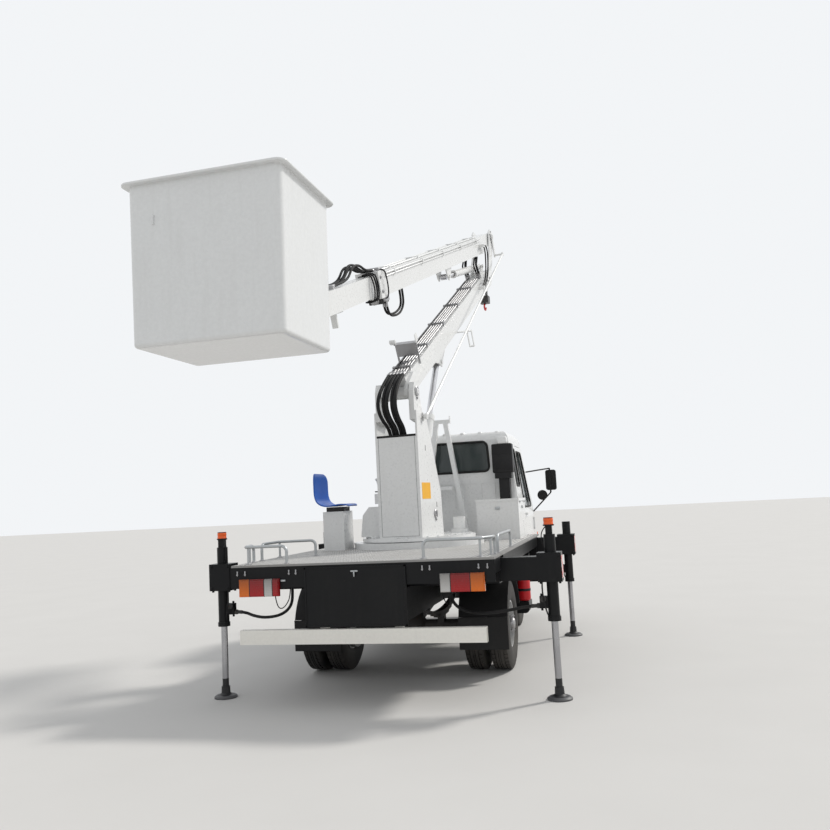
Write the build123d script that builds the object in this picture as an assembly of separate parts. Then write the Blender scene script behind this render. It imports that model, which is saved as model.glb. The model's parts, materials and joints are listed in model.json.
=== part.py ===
from build123d import *
import math
import os

# Cherry picker truck: narrow light truck with a deck, four jack outriggers, a slewing turret,
# a folding two-part boom with a telescopic tip, and a glass-fibre bucket.
# Millimetres; X to the truck's right, Y forward from the rear axle, Z up from the ground.
# Boom pieces are drawn in the boom's own frame (x right, y forward from the slew axis) and turned.

# Wheels and axles
TYRE_R = 395.0
TYRE_W = 185.0
RIM_R = 205.0
RIM_T = 14.0
RIM_HAND_HOLES = 6
HAND_HOLE_AT = 138.0
HAND_HOLE_R = 26.0
HUB_R = 96.0
HUB_BORE = 60.0
FRONT_DISH = 120.0        # front rim's disc from the tyre's inner face
STUB_R = 30.0
WHEELBASE = 2520.0
REAR_OUT = 950.0          # outer face of the outer rear tyre
TWIN_GAP = 34.0
FRONT_OUT = 722.0         # outer face of the front tyre
KINGPIN_X = 520.0
KINGPIN_R = 17.0
FORK_R = 40.0
FORK_GAP = 38.0           # half the height of the gap that the knuckle turns in
FORK_H = 86.0
AXLE_R = 48.0
PUMPKIN_R = 150.0
PINION_Z = 400.0
PINION_Y = 245.0
PINION_R = 62.0
SPRING_SEAT = 45.0
SPRING_Z = 520.0          # underside of the main leaf at the axle
SPRING_RISE = 66.0
LEAF_T = 14.0
LEAF_SHARES = (1.0, 0.78, 0.56, 0.34)
REAR_SPRING = 590.0       # half the main leaf's length
FRONT_SPRING = 550.0

# Ladder frame, deck and rear end
RAIL_IN = 265.0
RAIL_OUT = 325.0
RAIL_Z0 = 620.0
RAIL_Z1 = 780.0
RAIL_T = 7.0
FRAME_REAR = -1440.0
FRONT_OVERHANG = 810.0    # from the front axle to the frame's front end
CROSS_W = 80.0
BUMPER_Y = WHEELBASE + 950.0
BUMPER_Y1 = WHEELBASE + 1090.0
BUMPER_Z0 = 410.0
BUMPER_Z1 = 560.0
DECK_X = 1044.0
DECK_Y0 = -1511.0
DECK_Y1 = WHEELBASE - 620.0
DECK_Z = 1093.0
DECK_T = 16.0
SUB_H = 90.0              # height of the sub-frame on the rails
SIDE_RAIL_W = 50.0
FASCIA_Z0 = 914.0
FASCIA_T = 12.0
PANEL_T = 14.0
PANEL_X0 = -430.0
PANEL_X1 = 374.0
PANEL_Z0 = 612.0
PANEL_Z1 = 1062.0
BAR_X = 963.0
BAR_Z0 = 492.0
BAR_Z1 = 600.0
BAR_Y0 = -1556.0
BAR_Y1 = -1496.0
LAMP_X0 = 636.0
LAMP_X1 = 968.0
LAMP_Z0 = 853.0
LAMP_Z1 = 987.0
LAMP_DEPTH = 34.0
GUARD_R = 452.0
GUARD_T = 5.0
RAIL_TOP = 138.0          # height of the low rails above the deck
RAIL_R = 12.0
RAIL_BEND = 45.0
# outline on the deck of each low rail, a bent tube on posts at its ends and corners
LOW_RAILS = (
    ((500.0, -1448.0), (945.0, -1448.0), (1002.0, -1300.0), (1002.0, -1180.0)),
    ((1002.0, -1020.0), (1002.0, -250.0)),
    ((-600.0, -1448.0), (-945.0, -1448.0), (-1002.0, -1300.0), (-1002.0, -1180.0)),
    ((-1002.0, -1020.0), (-1002.0, -640.0), (-680.0, -600.0)),
)
CABINET_X0 = 505.0
CABINET_X1 = 942.0
CABINET_Y0 = 990.0
CABINET_Y1 = 1600.0
CABINET_Z1 = 1508.0
SEAT_X = -770.0           # middle of the operator's seat, which faces the turret
SEAT_Y = 250.0
SEAT_W = 410.0
SEAT_Z = 1528.0
SEAT_T = 12.0
SEAT_LIFT = 60.0
SEAT_BACK_H = 320.0
SEAT_DEEP = 175.0         # from the seat's middle to its front edge
PEDESTAL_X0 = -860.0
PEDESTAL_X1 = -650.0
PEDESTAL_Y0 = 110.0
PEDESTAL_Y1 = 390.0
TANK_Y0 = 760.0
TANK_Y1 = 1460.0
LOCKER_Y0 = 820.0

# Outriggers
REAR_ROW = -1130.0
FRONT_ROW = DECK_Y1 - 165.0
BEAM_W = 150.0
BEAM_Z0 = 888.0
BEAM_T = 10.0
SLEEVE_T = 9.0
SLEEVE_GAP = 6.0
BEAM_Z1 = DECK_Z - DECK_T - SLEEVE_T - SLEEVE_GAP
SLEEVE_X = 1030.0
BEAM_IN = 1070.0          # from the jack's axis to the beam's inner end
JACK_HEAD_IN = 100.0      # beam's head, from the jack's axis inward
JACK_HEAD_OUT = 84.0
JACK_HEAD_Z0 = 872.0
JACK_HEAD_Z1 = 1090.0
HEAD_GROW = 6.0
JACK_R = 44.0
JACK_BORE = 31.0
JACK_Z0 = 577.0
JACK_Z1 = 1225.0
COLLAR_R = 50.0
COLLAR_H = 34.0
VALVE_L = 58.0
VALVE_Z0 = 672.0
VALVE_H = 90.0
COLUMN_W = 50.0           # beacon's stem on the jack's tube
COLUMN_Z1 = 1288.0
BEACON_R = 36.0
BEACON_H = 64.0
ROD_R = 26.0
ROD_IN = 90.0             # rod still inside the jack
FOOT_R = 95.0
FOOT_H = 22.0
ANKLE_R = 37.0
ANKLE_H = 92.0
# name, side, row, distance of the jack's axis from the centreline, whether a beacon stands on it
OUTRIGGERS = (
    ("rear_left", -1, REAR_ROW, 1310.0, True),
    ("rear_right", 1, REAR_ROW, 1417.0, True),
    ("front_left", -1, FRONT_ROW, 1417.0, False),
    ("front_right", 1, FRONT_ROW, 1362.0, False),
)

# Cab
CAB_X = 848.0
CAB_REAR = WHEELBASE - 565.0
CAB_FRONT = WHEELBASE + 1070.0
CAB_FLOOR = 660.0
CAB_T = 42.0
CAB_REAR_FLOOR = 900.0
GLASS_IN = 16.0
GLASS_T = 6.0
DOOR_GAP = 6.0
TUNNEL_X = 392.0
TUNNEL_Y = WHEELBASE + 920.0
TUNNEL_Z = 900.0
CAB_TILT_Y = WHEELBASE + 1040.0
CAB_TILT_Z = 590.0
HINGE_Y = WHEELBASE + 802.0
HINGE_OUT = 10.0          # door hinge line outside the cab's widest face
HINGE_R = 9.0
HINGE_ARM = 70.0
HINGE_LOW = 800.0
HINGE_H = 90.0
HINGE_PITCH = 330.0
TILT_EAR_R = 40.0
TILT_PIN_R = 12.0
HANDLE_Z = 1300.0
HANDLE_IN = 50.0
HANDLE_L = 170.0
SEATS_X = 400.0
WHEEL_X = 400.0
STEER_R = 190.0
MIRROR_X = 1070.0
GRILLE_SLOTS = 5
GRILLE_PITCH = 44.0
# side outline as y, z and the radius of that corner
CAB_SIDE = (
    (CAB_REAR, CAB_REAR_FLOOR, 30.0), (CAB_REAR, 2290.0, 110.0), (CAB_REAR + 545.0, 2318.0, 500.0),
    (CAB_FRONT - 505.0, 2290.0, 110.0), (CAB_FRONT - 120.0, 1330.0, 160.0), (CAB_FRONT - 5.0, 1190.0, 120.0),
    (CAB_FRONT, CAB_FLOOR, 30.0), (WHEELBASE + 480.0, CAB_FLOOR, 30.0), (WHEELBASE + 350.0, CAB_REAR_FLOOR, 110.0),
)
# right half of the front outline as x, z and the radius of that corner
CAB_FACE = ((CAB_X, CAB_FLOOR - 60.0, 20.0), (CAB_X, 1290.0, 300.0), (742.0, 2305.0, 130.0), (0.0, 2345.0, 0.0))
PLAN_OUT = 6.0
CAB_REAR_R = 90.0
CAB_FRONT_R = 240.0
DOOR_REAR = WHEELBASE - 100.0
DOOR_FRONT = HINGE_Y + 3.0
DOOR = (
    (DOOR_REAR, 935.0, 60.0), (DOOR_REAR, 2140.0, 70.0), (DOOR_REAR + 565.0, 2140.0, 60.0), (DOOR_FRONT, 1330.0, 80.0),
    (DOOR_FRONT, 730.0, 40.0), (DOOR_FRONT - 285.0, 730.0, 30.0), (DOOR_REAR + 460.0, 935.0, 100.0),
)
DOOR_WINDOW = (
    (DOOR_REAR + 70.0, 1400.0, 45.0), (DOOR_REAR + 70.0, 2070.0, 60.0), (DOOR_REAR + 505.0, 2070.0, 60.0),
    (DOOR_FRONT - 120.0, 1400.0, 60.0),
)
QUARTER = (
    (CAB_REAR + 105.0, 1650.0, 40.0), (CAB_REAR + 105.0, 2090.0, 40.0), (DOOR_REAR - 70.0, 2090.0, 40.0),
    (DOOR_REAR - 70.0, 1650.0, 40.0),
)
WINDSCREEN = ((-700.0, 1400.0, 60.0), (700.0, 1400.0, 60.0), (610.0, 2170.0, 70.0), (-610.0, 2170.0, 70.0))
REAR_WINDOW = ((-520.0, 1835.0, 55.0), (520.0, 1835.0, 55.0), (505.0, 2180.0, 70.0), (-505.0, 2180.0, 70.0))
RIB_W = 118.0
RIB_PITCH = 158.0
RIB_Z0 = 1420.0
RIB_Z1 = 1700.0
RIB_DEEP = 8.0
RIB_COUNT = 9

# Turret and booms, in the boom's frame
SLEW_Y = 500.0
SLEW = 6.2                # degrees to the right in the pose shown
BASE_R = 640.0
BASE_Z1 = 1150.0
NECK_R = 420.0
TABLE_R = 560.0
TABLE_Z0 = 1156.0
TABLE_Z1 = 1190.0
CHEEK_IN = 197.0
CHEEK_OUT = 215.0
CHEEK_BACK = -505.0
CHEEK_TOP = 2385.0
EAR_IN = 146.0
BOX_BACK_Z = 2150.0       # top of the panel across the turret's rear
PLATE_T = 16.0
P1 = (-420.0, 2574.0)
EAR_R = 84.0
LOWER_ANGLE = 29.3
LOWER_W = 200.0
LOWER_H = 220.0
LOWER_RISE = 20.0         # middle of the box above its pin
LOWER_LEN = 3960.0
HEEL_L = 40.0              # from the heel pin to the box's lower end
ELBOW_PAST = 491.5        # elbow pin beyond the box's upper end
ELBOW_OVER = 474.2        # elbow pin above the heel pin's line
HEEL_OUT = 138.0          # outer face of the heel's cheeks
UPPER_ANGLE = 20.8
UPPER_W = 200.0
UPPER_H = 224.0
UPPER_DROP = 66.0         # from the elbow pin down to the box's middle
UPPER_START = 420.0
UPPER_LEN = 4560.0        # from the elbow pin to the open end of the box
UPPER_T = 10.0
COLLAR_L = 90.0
COLLAR_T = 12.0
INNER_W = 164.0
INNER_H = 188.0
INNER_T = 8.0
INNER_IN = 2400.0         # length still inside the box
INNER_OUT = 1170.0        # length out of the box
NOSE_L = 128.0            # from the inner box's end to the tip pin, along the boom
NOSE_RISE = 6.3           # tip pin above the inner box's middle
NOSE_HALF = 30.0
TIP_PIN_R = 20.0
BRACKET_AT = 5360.0       # bracket under the inner box, along the upper boom
BRACKET_H = 130.0
SLIDE_MOTOR_AT = 4300.0
REST_Y = DECK_Y1 - 100.0
REST_L = 60.0
REST_Z = 2452.0           # top of the boom rest's crossbar
REST_BAR = 40.0
REST_FOOT = 275.0         # outer edge of the rest's leg at the deck
REST_GAP = 6.0
HORN_T = 8.0
HORN_H = 42.0
HEAD_IN = 108.0
HEAD_OUT = 124.0
PIN_R = 28.0
PIN_PLAY = 2.0
LIFT_BASE = (-100.0, 1400.0)
LIFT_EYE_AT = (1344.6, -205.3)   # along and across the lower boom
# barrel's length, barrel's radius, rod's radius, base pin's radius, base eye's radius, rod left in the barrel
LIFT_CYLINDER = (1180.0, 58.0, 32.0, 24.0, 46.0, 600.0)
LIFT_EAR = (44.0, 60.0, 62.0)     # clevis plate's inner and outer face, and its reach round the pin
FOLD_BASE_AT = (3890.0, 209.1)    # along and across the lower boom
FOLD_EYE_AT = (2160.5, -278.0)   # along and across the upper boom
FOLD_CYLINDER = (1250.0, 43.0, 24.0, 20.0, 38.0, 780.0)
FOLD_EAR = (54.0, 68.0, 52.0)
FOLD_PIN_R = 20.0
EYE_HALF = 34.0           # half the width of a cylinder's eye
HOOK_OUT = 92.0           # hook's pin beyond the lower box's end
HOOK_PIN_R = 13.0
LEVERS = 6
LEVEL_ARM = (100.0, -240.0)
LEVEL_X = 250.0
LEVEL_R = 14.0
LEVEL_PIN_R = 13.0
GUIDE_AT = 1990.0         # the levelling rod's guide, along the lower boom
GUIDE_L = 40.0
GUIDE_BAR = 8.0
GUIDE_PLAY = 8.0          # beside the rod, inside the frame
GUIDE_GAP = 5.0           # under the rod at its lowest
PIPE_NEAR = 120.0         # the pipes' lower ends, along the boom from its pin
PIPE_ACROSS = 154.0
PIPE_R = 9.0
PIPE_X = (-75.0, -45.0, -15.0, 15.0, 45.0, 75.0)
PIPE_CLAMPS = (260.0, 900.0, 1600.0, 2300.0, 3000.0)
HOSE_BLOCK_Z = 2050.0
HOSE_R = 17.0
ELBOW_HOSE_R = 9.0
HOSE_A = 3420.0
HOSE_B = 640.0
CRADLE_AT = 520.0
CRADLE_TOP = 318.0
CRADLE_X = 116.0

# Bucket
BUCKET_W = 1100.0         # outside, across the top
BUCKET_L = 840.0
BUCKET_TAPER = 13.0       # each side, top to bottom
BUCKET_R = 48.0
BUCKET_H = 1100.0
BUCKET_T = 16.0
BUCKET_LIP = 44.0
BUCKET_LIP_T = 18.0
BUCKET_LIP_R = 70.0
BUCKET_SWING = 4.9        # degrees about the upright post in the pose shown
BUCKET_X = -211.0
BUCKET_BELOW = 430.0      # bucket's underside below the tip pin
BUCKET_GAP = 134.0        # from the post to the bucket's near side
POST_BACK = 205.0         # from the tip pin to the post
POST_R = 48.0
STEM_R = 26.0
# offset across the boom, how much farther back the loop reaches
TURRET_HOSES = ((-72.0, 40.0), (-36.0, 10.0), (0.0, 30.0), (36.0, 0.0), (72.0, 20.0))
ELBOW_HOSES = ((128.0, 0.0), (152.0, 30.0))


def block(x0, x1, y0, y1, z0, z1):
    return Pos((x0 + x1) / 2, (y0 + y1) / 2, (z0 + z1) / 2) * Box(x1 - x0, y1 - y0, z1 - z0)


def along_x(face, x0, x1):
    """Face drawn in (y, z), thick from x0 to x1."""
    return Pos(x0, 0, 0) * extrude(Plane.YZ * face, x1 - x0)


def along_y(face, y0, y1):
    """Face drawn in (x, z), thick from y0 to y1."""
    plane = Plane((0, y1, 0), x_dir=(1, 0, 0), z_dir=(0, -1, 0))
    return extrude(plane * face, y1 - y0)


def along_z(face, z0, z1):
    return Pos(0, 0, z0) * extrude(face, z1 - z0)


def polygon(points):
    return make_face(Polyline(*points, close=True))


def side_plate(points, x0, x1):
    return along_x(polygon(points), x0, x1)


def rounded(corners, inset=0.0):
    """Face with straight edges and round corners (u, v, radius), pulled in by inset."""
    count = len(corners)
    area = sum(corners[i - 1][0] * corners[i][1] - corners[i][0] * corners[i - 1][1] for i in range(count))
    sense = 1.0 if area > 0 else -1.0
    edges = []
    last = None
    first = None
    for i in range(count):
        here = Vector(*corners[i][:2])
        before = (here - Vector(*corners[i - 1][:2])).normalized()
        after = (Vector(*corners[(i + 1) % count][:2]) - here).normalized()
        inward = Vector(-before.Y, before.X) * sense
        inward_after = Vector(-after.Y, after.X) * sense
        corner = here + (inward + inward_after) * (inset / (1 + inward.dot(inward_after)))
        cross = (before.X * after.Y - before.Y * after.X) * sense
        radius = max(corners[i][2] - math.copysign(inset, cross), 1.0)
        half_turn = math.acos(max(-1.0, min(1.0, before.dot(after)))) / 2
        start = corner - before * (radius * math.tan(half_turn))
        end = corner + after * (radius * math.tan(half_turn))
        middle = corner + (after - before).normalized() * (radius / math.cos(half_turn) - radius)
        if last is not None:
            edges.append(Line(last, start))
        else:
            first = start
        edges.append(ThreePointArc(start, middle, end))
        last = end
    edges.append(Line(last, first))
    return make_face(edges)


def rod(a, b, radius):
    way = Vector(*b) - Vector(*a)
    plane = Plane(Vector(*a), z_dir=way)
    return plane * Cylinder(radius, way.length, align=(Align.CENTER, Align.CENTER, Align.MIN))


def tube(a, b, radius, bore):
    return rod(a, b, radius) - rod(a, b, bore)


def upright(x, y, z0, z1, radius):
    return rod((x, y, z0), (x, y, z1), radius)


def mirrored(shape):
    return mirror(shape, Plane.YZ)


def both_sides(shape):
    return apart(shape, mirrored(shape))


def on_side(shape, side):
    return shape if side > 0 else mirrored(shape)


def apart(*shapes):
    """Pieces of one node that stay separate solids, as welded members do."""
    return Compound([solid for shape in shapes for solid in shape.solids()])


def polar(start, angle, along, across=0.0):
    """Point from start, along a line at an angle in (y, z), then across to its upper side."""
    c = math.cos(math.radians(angle))
    s = math.sin(math.radians(angle))
    return (start[0] + along * c - across * s, start[1] + along * s + across * c)


def direction(a, b):
    return math.degrees(math.atan2(b[1] - a[1], b[0] - a[0]))


def cross_rod(centre, x0, x1, radius):
    return rod((x0, centre[0], centre[1]), (x1, centre[0], centre[1]), radius)


def link_rod(a, b, radius, x=0.0):
    return rod((x, a[0], a[1]), (x, b[0], b[1]), radius)


def eye(centre, x0, x1, radius, bore):
    return cross_rod(centre, x0, x1, radius) - cross_rod(centre, x0, x1, bore)


def lower_at(along, across=0.0):
    """Point of the lower boom, along it from its pin toward the elbow."""
    return polar(P1, LOWER_ANGLE, along, across)


def lower_band(near, far, low, high):
    return [lower_at(near, low), lower_at(far, low), lower_at(far, high), lower_at(near, high)]


def upper_at(along, across=0.0):
    """Point of the upper boom, along it from the elbow pin toward the bucket."""
    return polar(P2, UPPER_ANGLE + 180.0, along, -across)


def upper_band(near, far, low, high):
    return [upper_at(near, low), upper_at(far, low), upper_at(far, high), upper_at(near, high)]


P2 = lower_at(LOWER_LEN + ELBOW_PAST, ELBOW_OVER)
LIFT_EYE = lower_at(*LIFT_EYE_AT)
FOLD_BASE = lower_at(*FOLD_BASE_AT)
FOLD_EYE = upper_at(*FOLD_EYE_AT)
UPPER_MID = -UPPER_DROP
TIP_PIN = upper_at(UPPER_LEN + INNER_OUT + NOSE_L, UPPER_MID + NOSE_RISE)
POST = (0.0, TIP_PIN[0] - POST_BACK)
BUCKET_MID = (BUCKET_X, POST[1] - BUCKET_GAP - BUCKET_L / 2)
BUCKET_Z0 = TIP_PIN[1] - BUCKET_BELOW


def hose(points, radius):
    """Round hose of straight runs and tangent arcs through the given corners."""
    corners = [Vector(*p) for p in points]
    runs = [(b - a).length for a, b in zip(corners, corners[1:])]
    edges = []
    radii = []
    last = corners[0]
    for i in range(1, len(corners) - 1):
        before = (corners[i - 1] - corners[i]).normalized()
        after = (corners[i + 1] - corners[i]).normalized()
        turn = math.pi - math.acos(max(-1.0, min(1.0, before.dot(after))))
        cut = 0.45 * min(runs[i - 1], runs[i])
        bend = cut / math.tan(turn / 2)
        start = corners[i] + before * cut
        end = corners[i] + after * cut
        middle = (before + after).normalized()
        sag = bend / math.cos(turn / 2) - bend
        edges.append(Line(last, start))
        edges.append(ThreePointArc(start, corners[i] + middle * sag, end))
        radii.append(round(bend, 1))
        last = end
    edges.append(Line(last, corners[-1]))
    section = Plane(corners[0], z_dir=corners[1] - corners[0]) * Circle(radius)
    return sweep(section, path=Wire(edges)), radii


def turned(shape):
    return Pos(0, SLEW_Y, 0) * Rot(0, 0, -SLEW) * shape


def chassis_frame():
    """Two C-section rails with their cross members and spring hangers, and the front bumper."""
    front = WHEELBASE + FRONT_OVERHANG
    rail = block(RAIL_IN, RAIL_OUT, FRAME_REAR, front, RAIL_Z0, RAIL_Z1)
    rail -= block(RAIL_IN, RAIL_OUT - RAIL_T, FRAME_REAR, front, RAIL_Z0 + RAIL_T, RAIL_Z1 - RAIL_T)
    members = []
    quarter = (RAIL_Z1 - RAIL_Z0) / 4
    inner = RAIL_OUT - RAIL_T
    rows = (FRAME_REAR, -REAR_SPRING - CROSS_W, REAR_SPRING, TANK_Y1, front - CROSS_W)
    for y in rows:
        members.append(block(-inner, inner, y, y + CROSS_W, RAIL_Z0 + quarter, RAIL_Z1 - quarter))
    hanger_l = 30.0
    hanger_h = 20.0
    for middle, half in ((0.0, REAR_SPRING), (WHEELBASE, FRONT_SPRING)):
        for y in (middle - half + hanger_l, middle + half - hanger_l):
            hanger = block(RAIL_IN, RAIL_OUT, y - hanger_l, y + hanger_l, RAIL_Z0 - hanger_h, RAIL_Z0)
            members.append(both_sides(hanger))
    return apart(both_sides(rail), *members, front_bumper())


def front_bumper():
    """Beam across the front on two arms, with the ears that the cab tilts on."""
    front = WHEELBASE + FRONT_OVERHANG
    half = CAB_X - 10.0
    beam = rounded(
        ((-half, BUMPER_Y, 20.0), (half, BUMPER_Y, 20.0), (half, BUMPER_Y1, 90.0), (-half, BUMPER_Y1, 90.0))
    )
    arm = block(RAIL_IN, RAIL_OUT, front, BUMPER_Y, BUMPER_Z0 + 30.0, BUMPER_Z1)
    drop = block(RAIL_IN, RAIL_OUT, front - 120.0, front, BUMPER_Z0 + 30.0, RAIL_Z0)
    ear_y = CAB_TILT_Y + TILT_EAR_R
    ear = block(RAIL_IN, RAIL_IN + PLATE_T, CAB_TILT_Y - TILT_EAR_R, ear_y, BUMPER_Z1, CAB_TILT_Z)
    ear += cross_rod((CAB_TILT_Y, CAB_TILT_Z), RAIL_IN, RAIL_IN + PLATE_T, TILT_EAR_R)
    ears = apart(ear, Pos(RAIL_OUT - PLATE_T - RAIL_IN, 0, 0) * ear)
    pin = cross_rod((CAB_TILT_Y, CAB_TILT_Z), RAIL_IN + PLATE_T, RAIL_OUT - PLATE_T, TILT_PIN_R)
    return apart(along_z(beam, BUMPER_Z0, BUMPER_Z1), both_sides(apart(arm, drop, ears, pin)))


def leaf_springs(axle_y, half):
    """Pair of springs under the rails, each of leaves that grow shorter downward."""
    body = None
    for i, share in enumerate(LEAF_SHARES):
        z_mid = SPRING_Z - LEAF_T * i
        z_end = z_mid + SPRING_RISE * share * share
        near = axle_y - half * share
        far = axle_y + half * share
        low = ThreePointArc((near, z_end), (axle_y, z_mid), (far, z_end))
        end = Line((far, z_end), (far, z_end + LEAF_T))
        top = ThreePointArc((far, z_end + LEAF_T), (axle_y, z_mid + LEAF_T), (near, z_end + LEAF_T))
        start = Line((near, z_end + LEAF_T), (near, z_end))
        leaf = along_x(make_face([low.edge(), end.edge(), top.edge(), start.edge()]), RAIL_IN, RAIL_OUT)
        body = leaf if body is None else body + leaf
    return both_sides(body)


def rear_inner():
    return REAR_OUT - 2 * TYRE_W - TWIN_GAP


def rear_axle():
    half = rear_inner() + 40.0
    body = rod((-half, 0, TYRE_R), (half, 0, TYRE_R), AXLE_R)
    body += Pos(0, 0, TYRE_R) * Sphere(PUMPKIN_R)
    body += rod((0, 0, PINION_Z), (0, PINION_Y, PINION_Z), PINION_R)
    seat = block(RAIL_IN, RAIL_OUT, -SPRING_SEAT, SPRING_SEAT, TYRE_R, SPRING_Z - LEAF_T * 3)
    return body + seat + mirrored(seat)


def front_axle():
    """Dropped beam with a spring seat and a fork for the kingpin at each end."""
    z = TYRE_R
    y = WHEELBASE
    drop = 20.0
    root = KINGPIN_X - FORK_R - 6.0
    half = 38.0
    beam = block(-root, root, y - half, y + half, z - half - drop, z + half - drop)
    seat = block(RAIL_IN, RAIL_OUT, y - SPRING_SEAT, y + SPRING_SEAT, z, SPRING_Z - LEAF_T * 3)
    fork = tube((KINGPIN_X, y, z - FORK_H), (KINGPIN_X, y, z + FORK_H), FORK_R, KINGPIN_R + PIN_PLAY)
    fork -= block(KINGPIN_X - 60.0, KINGPIN_X + 60.0, y - 60.0, y + 60.0, z - FORK_GAP, z + FORK_GAP)
    web = block(root - FORK_R, root, y - 30.0, y + 30.0, z - FORK_H, z + FORK_H)
    edge = KINGPIN_X - KINGPIN_R - PIN_PLAY - 3.0
    arm_low = block(root, edge, y - 30.0, y + 30.0, z - FORK_H, z - FORK_GAP)
    arm_high = block(root, edge, y - 30.0, y + 30.0, z + FORK_GAP, z + FORK_H)
    side = seat + fork + web + arm_low + arm_high
    return beam + side + mirrored(side)


def knuckle(side):
    """Steering knuckle: kingpin, hub and stub axle, with its steering arm."""
    z = TYRE_R
    hub_h = FORK_GAP - 4.0
    body = upright(KINGPIN_X, WHEELBASE, z - FORK_H - 8.0, z + FORK_H + 8.0, KINGPIN_R)
    body += upright(KINGPIN_X, WHEELBASE, z - hub_h, z + hub_h, hub_h)
    body += rod((KINGPIN_X, WHEELBASE, z), (stub_end(), WHEELBASE, z), STUB_R)
    body += block(KINGPIN_X - 10.0, KINGPIN_X + 12.0, WHEELBASE - 150.0, WHEELBASE - 20.0, z - 12.0, z + 12.0)
    return on_side(body, side)


def stub_end():
    return FRONT_OUT - TYRE_W + FRONT_DISH - 8.0


def engine():
    """Engine as one block between the rails, with the gearbox and propeller shaft behind it."""
    half = RAIL_IN - 30.0
    rear = WHEELBASE - 460.0
    body = block(-half, half, rear, rear + 1000.0, 470.0, TUNNEL_Z - 20.0)
    gearbox = block(-120.0, 120.0, rear - 460.0, rear, 520.0, 760.0)
    flange = rod((0, PINION_Y, PINION_Z), (0, PINION_Y + 60.0, PINION_Z), PINION_R - 2.0)
    shaft = rod((0, PINION_Y + 60.0, PINION_Z), (0, rear - 460.0, 600.0), 40.0)
    return apart(body, gearbox, flange, shaft)


def fuel_tank():
    body = block(-930.0, -RAIL_OUT - 40.0, TANK_Y0, TANK_Y1, 380.0, 760.0)
    body = fillet(body.edges().filter_by(Axis.Y), 50.0)
    straps = []
    for y in (TANK_Y0 + 100.0, TANK_Y1 - 160.0):
        straps.append(block(-RAIL_OUT - 40.0, -RAIL_OUT, y, y + 60.0, RAIL_Z0, RAIL_Z1 - 40.0))
    return apart(body, *straps)


def side_locker():
    """Locker on two brackets beside the right rail, with an open tray under its outer edge."""
    y1 = TANK_Y1
    box = block(560.0, 900.0, LOCKER_Y0, y1, 500.0, RAIL_Z1)
    brackets = []
    for y in (LOCKER_Y0 + 80.0, y1 - 140.0):
        brackets.append(block(RAIL_OUT, 560.0, y, y + 60.0, RAIL_Z0, RAIL_Z1 - 40.0))
    tray = rounded(((860.0, 368.0, 30.0), (1010.0, 368.0, 45.0), (1010.0, 480.0, 12.0), (860.0, 480.0, 12.0)))
    hanger = block(868.0, 880.0, LOCKER_Y0 + 60.0, LOCKER_Y0 + 120.0, 480.0, 500.0)
    return apart(box, *brackets, along_y(tray, LOCKER_Y0, LOCKER_Y0 + 260.0), hanger)


def deck_frame():
    """Sub-frame on the rails, cross bearers, the deck's side rails and the member across the rear."""
    top = DECK_Z - DECK_T
    sub_z1 = RAIL_Z1 + SUB_H
    rear = DECK_Y0 + FASCIA_T
    edge = DECK_X - SIDE_RAIL_W
    sub = block(RAIL_IN, RAIL_OUT, rear + CROSS_W, DECK_Y1, RAIL_Z1, sub_z1)
    tail = block(-RAIL_OUT, RAIL_OUT, rear, rear + CROSS_W, RAIL_Z1, sub_z1)
    fascia = block(-DECK_X, DECK_X, DECK_Y0, rear, FASCIA_Z0, top)
    sleeve_half = BEAM_W / 2 + SLEEVE_GAP + SLEEVE_T
    rail_z0 = FASCIA_Z0 + 60.0
    rear_rail = block(edge, DECK_X, rear, REAR_ROW - sleeve_half, rail_z0, top)
    mid_rail = block(edge, DECK_X, REAR_ROW + sleeve_half, FRONT_ROW - sleeve_half, rail_z0, top)
    bearers = []
    for y in (-900.0, -480.0, -60.0, 1180.0):
        bearers.append(block(RAIL_IN, edge, y, y + 60.0, sub_z1, top))
    panel = block(PANEL_X0, PANEL_X1, DECK_Y0 - PANEL_T, DECK_Y0, PANEL_Z0, PANEL_Z1)
    return apart(tail, fascia, panel, both_sides(apart(sub, rear_rail, mid_rail, *bearers)))


def deck_plate():
    plate = block(-DECK_X, DECK_X, DECK_Y0, DECK_Y1, DECK_Z - DECK_T, DECK_Z)
    return plate - upright(0, SLEW_Y, DECK_Z - DECK_T, DECK_Z, NECK_R + 10.0)


def sleeve(row):
    """Box tube across the truck that two outrigger beams slide in, with its packers."""
    half = BEAM_W / 2 + SLEEVE_GAP + SLEEVE_T
    z0 = BEAM_Z0 - SLEEVE_GAP - SLEEVE_T
    z1 = BEAM_Z1 + SLEEVE_GAP + SLEEVE_T
    floor = block(-SLEEVE_X, SLEEVE_X, row - half, row + half, z0, z0 + SLEEVE_T)
    roof = block(-SLEEVE_X, SLEEVE_X, row - half, row + half, z1 - SLEEVE_T, z1)
    back = block(-SLEEVE_X, SLEEVE_X, row - half, row - half + SLEEVE_T, z0 + SLEEVE_T, z1 - SLEEVE_T)
    front = Pos(0, 2 * half - SLEEVE_T, 0) * back
    packer = block(RAIL_IN, RAIL_OUT, row - half, row + half, RAIL_Z1 + SUB_H, z0)
    return apart(floor, roof, back, front, both_sides(packer))


def mudguards():
    """Arched guards over the rear wheels, each with a flap behind and a stay to the deck."""
    x0 = rear_inner() - 8.0
    x1 = REAR_OUT + 14.0
    outer = GUARD_R + GUARD_T
    guard = cross_rod((0.0, TYRE_R), x0, x1, outer) - cross_rod((0.0, TYRE_R), x0, x1, GUARD_R)
    lowest = TYRE_R + 120.0
    guard &= block(x0, x1, -outer, outer, lowest, TYRE_R + outer)
    flap = block(x0, x1, -outer, -outer + GUARD_T, lowest - 270.0, lowest)
    stay = block(x0 + 40.0, x0 + 90.0, -60.0, 0.0, TYRE_R + outer - 2.0, RAIL_Z1 + SUB_H)
    return both_sides(guard + flap + stay)


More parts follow.
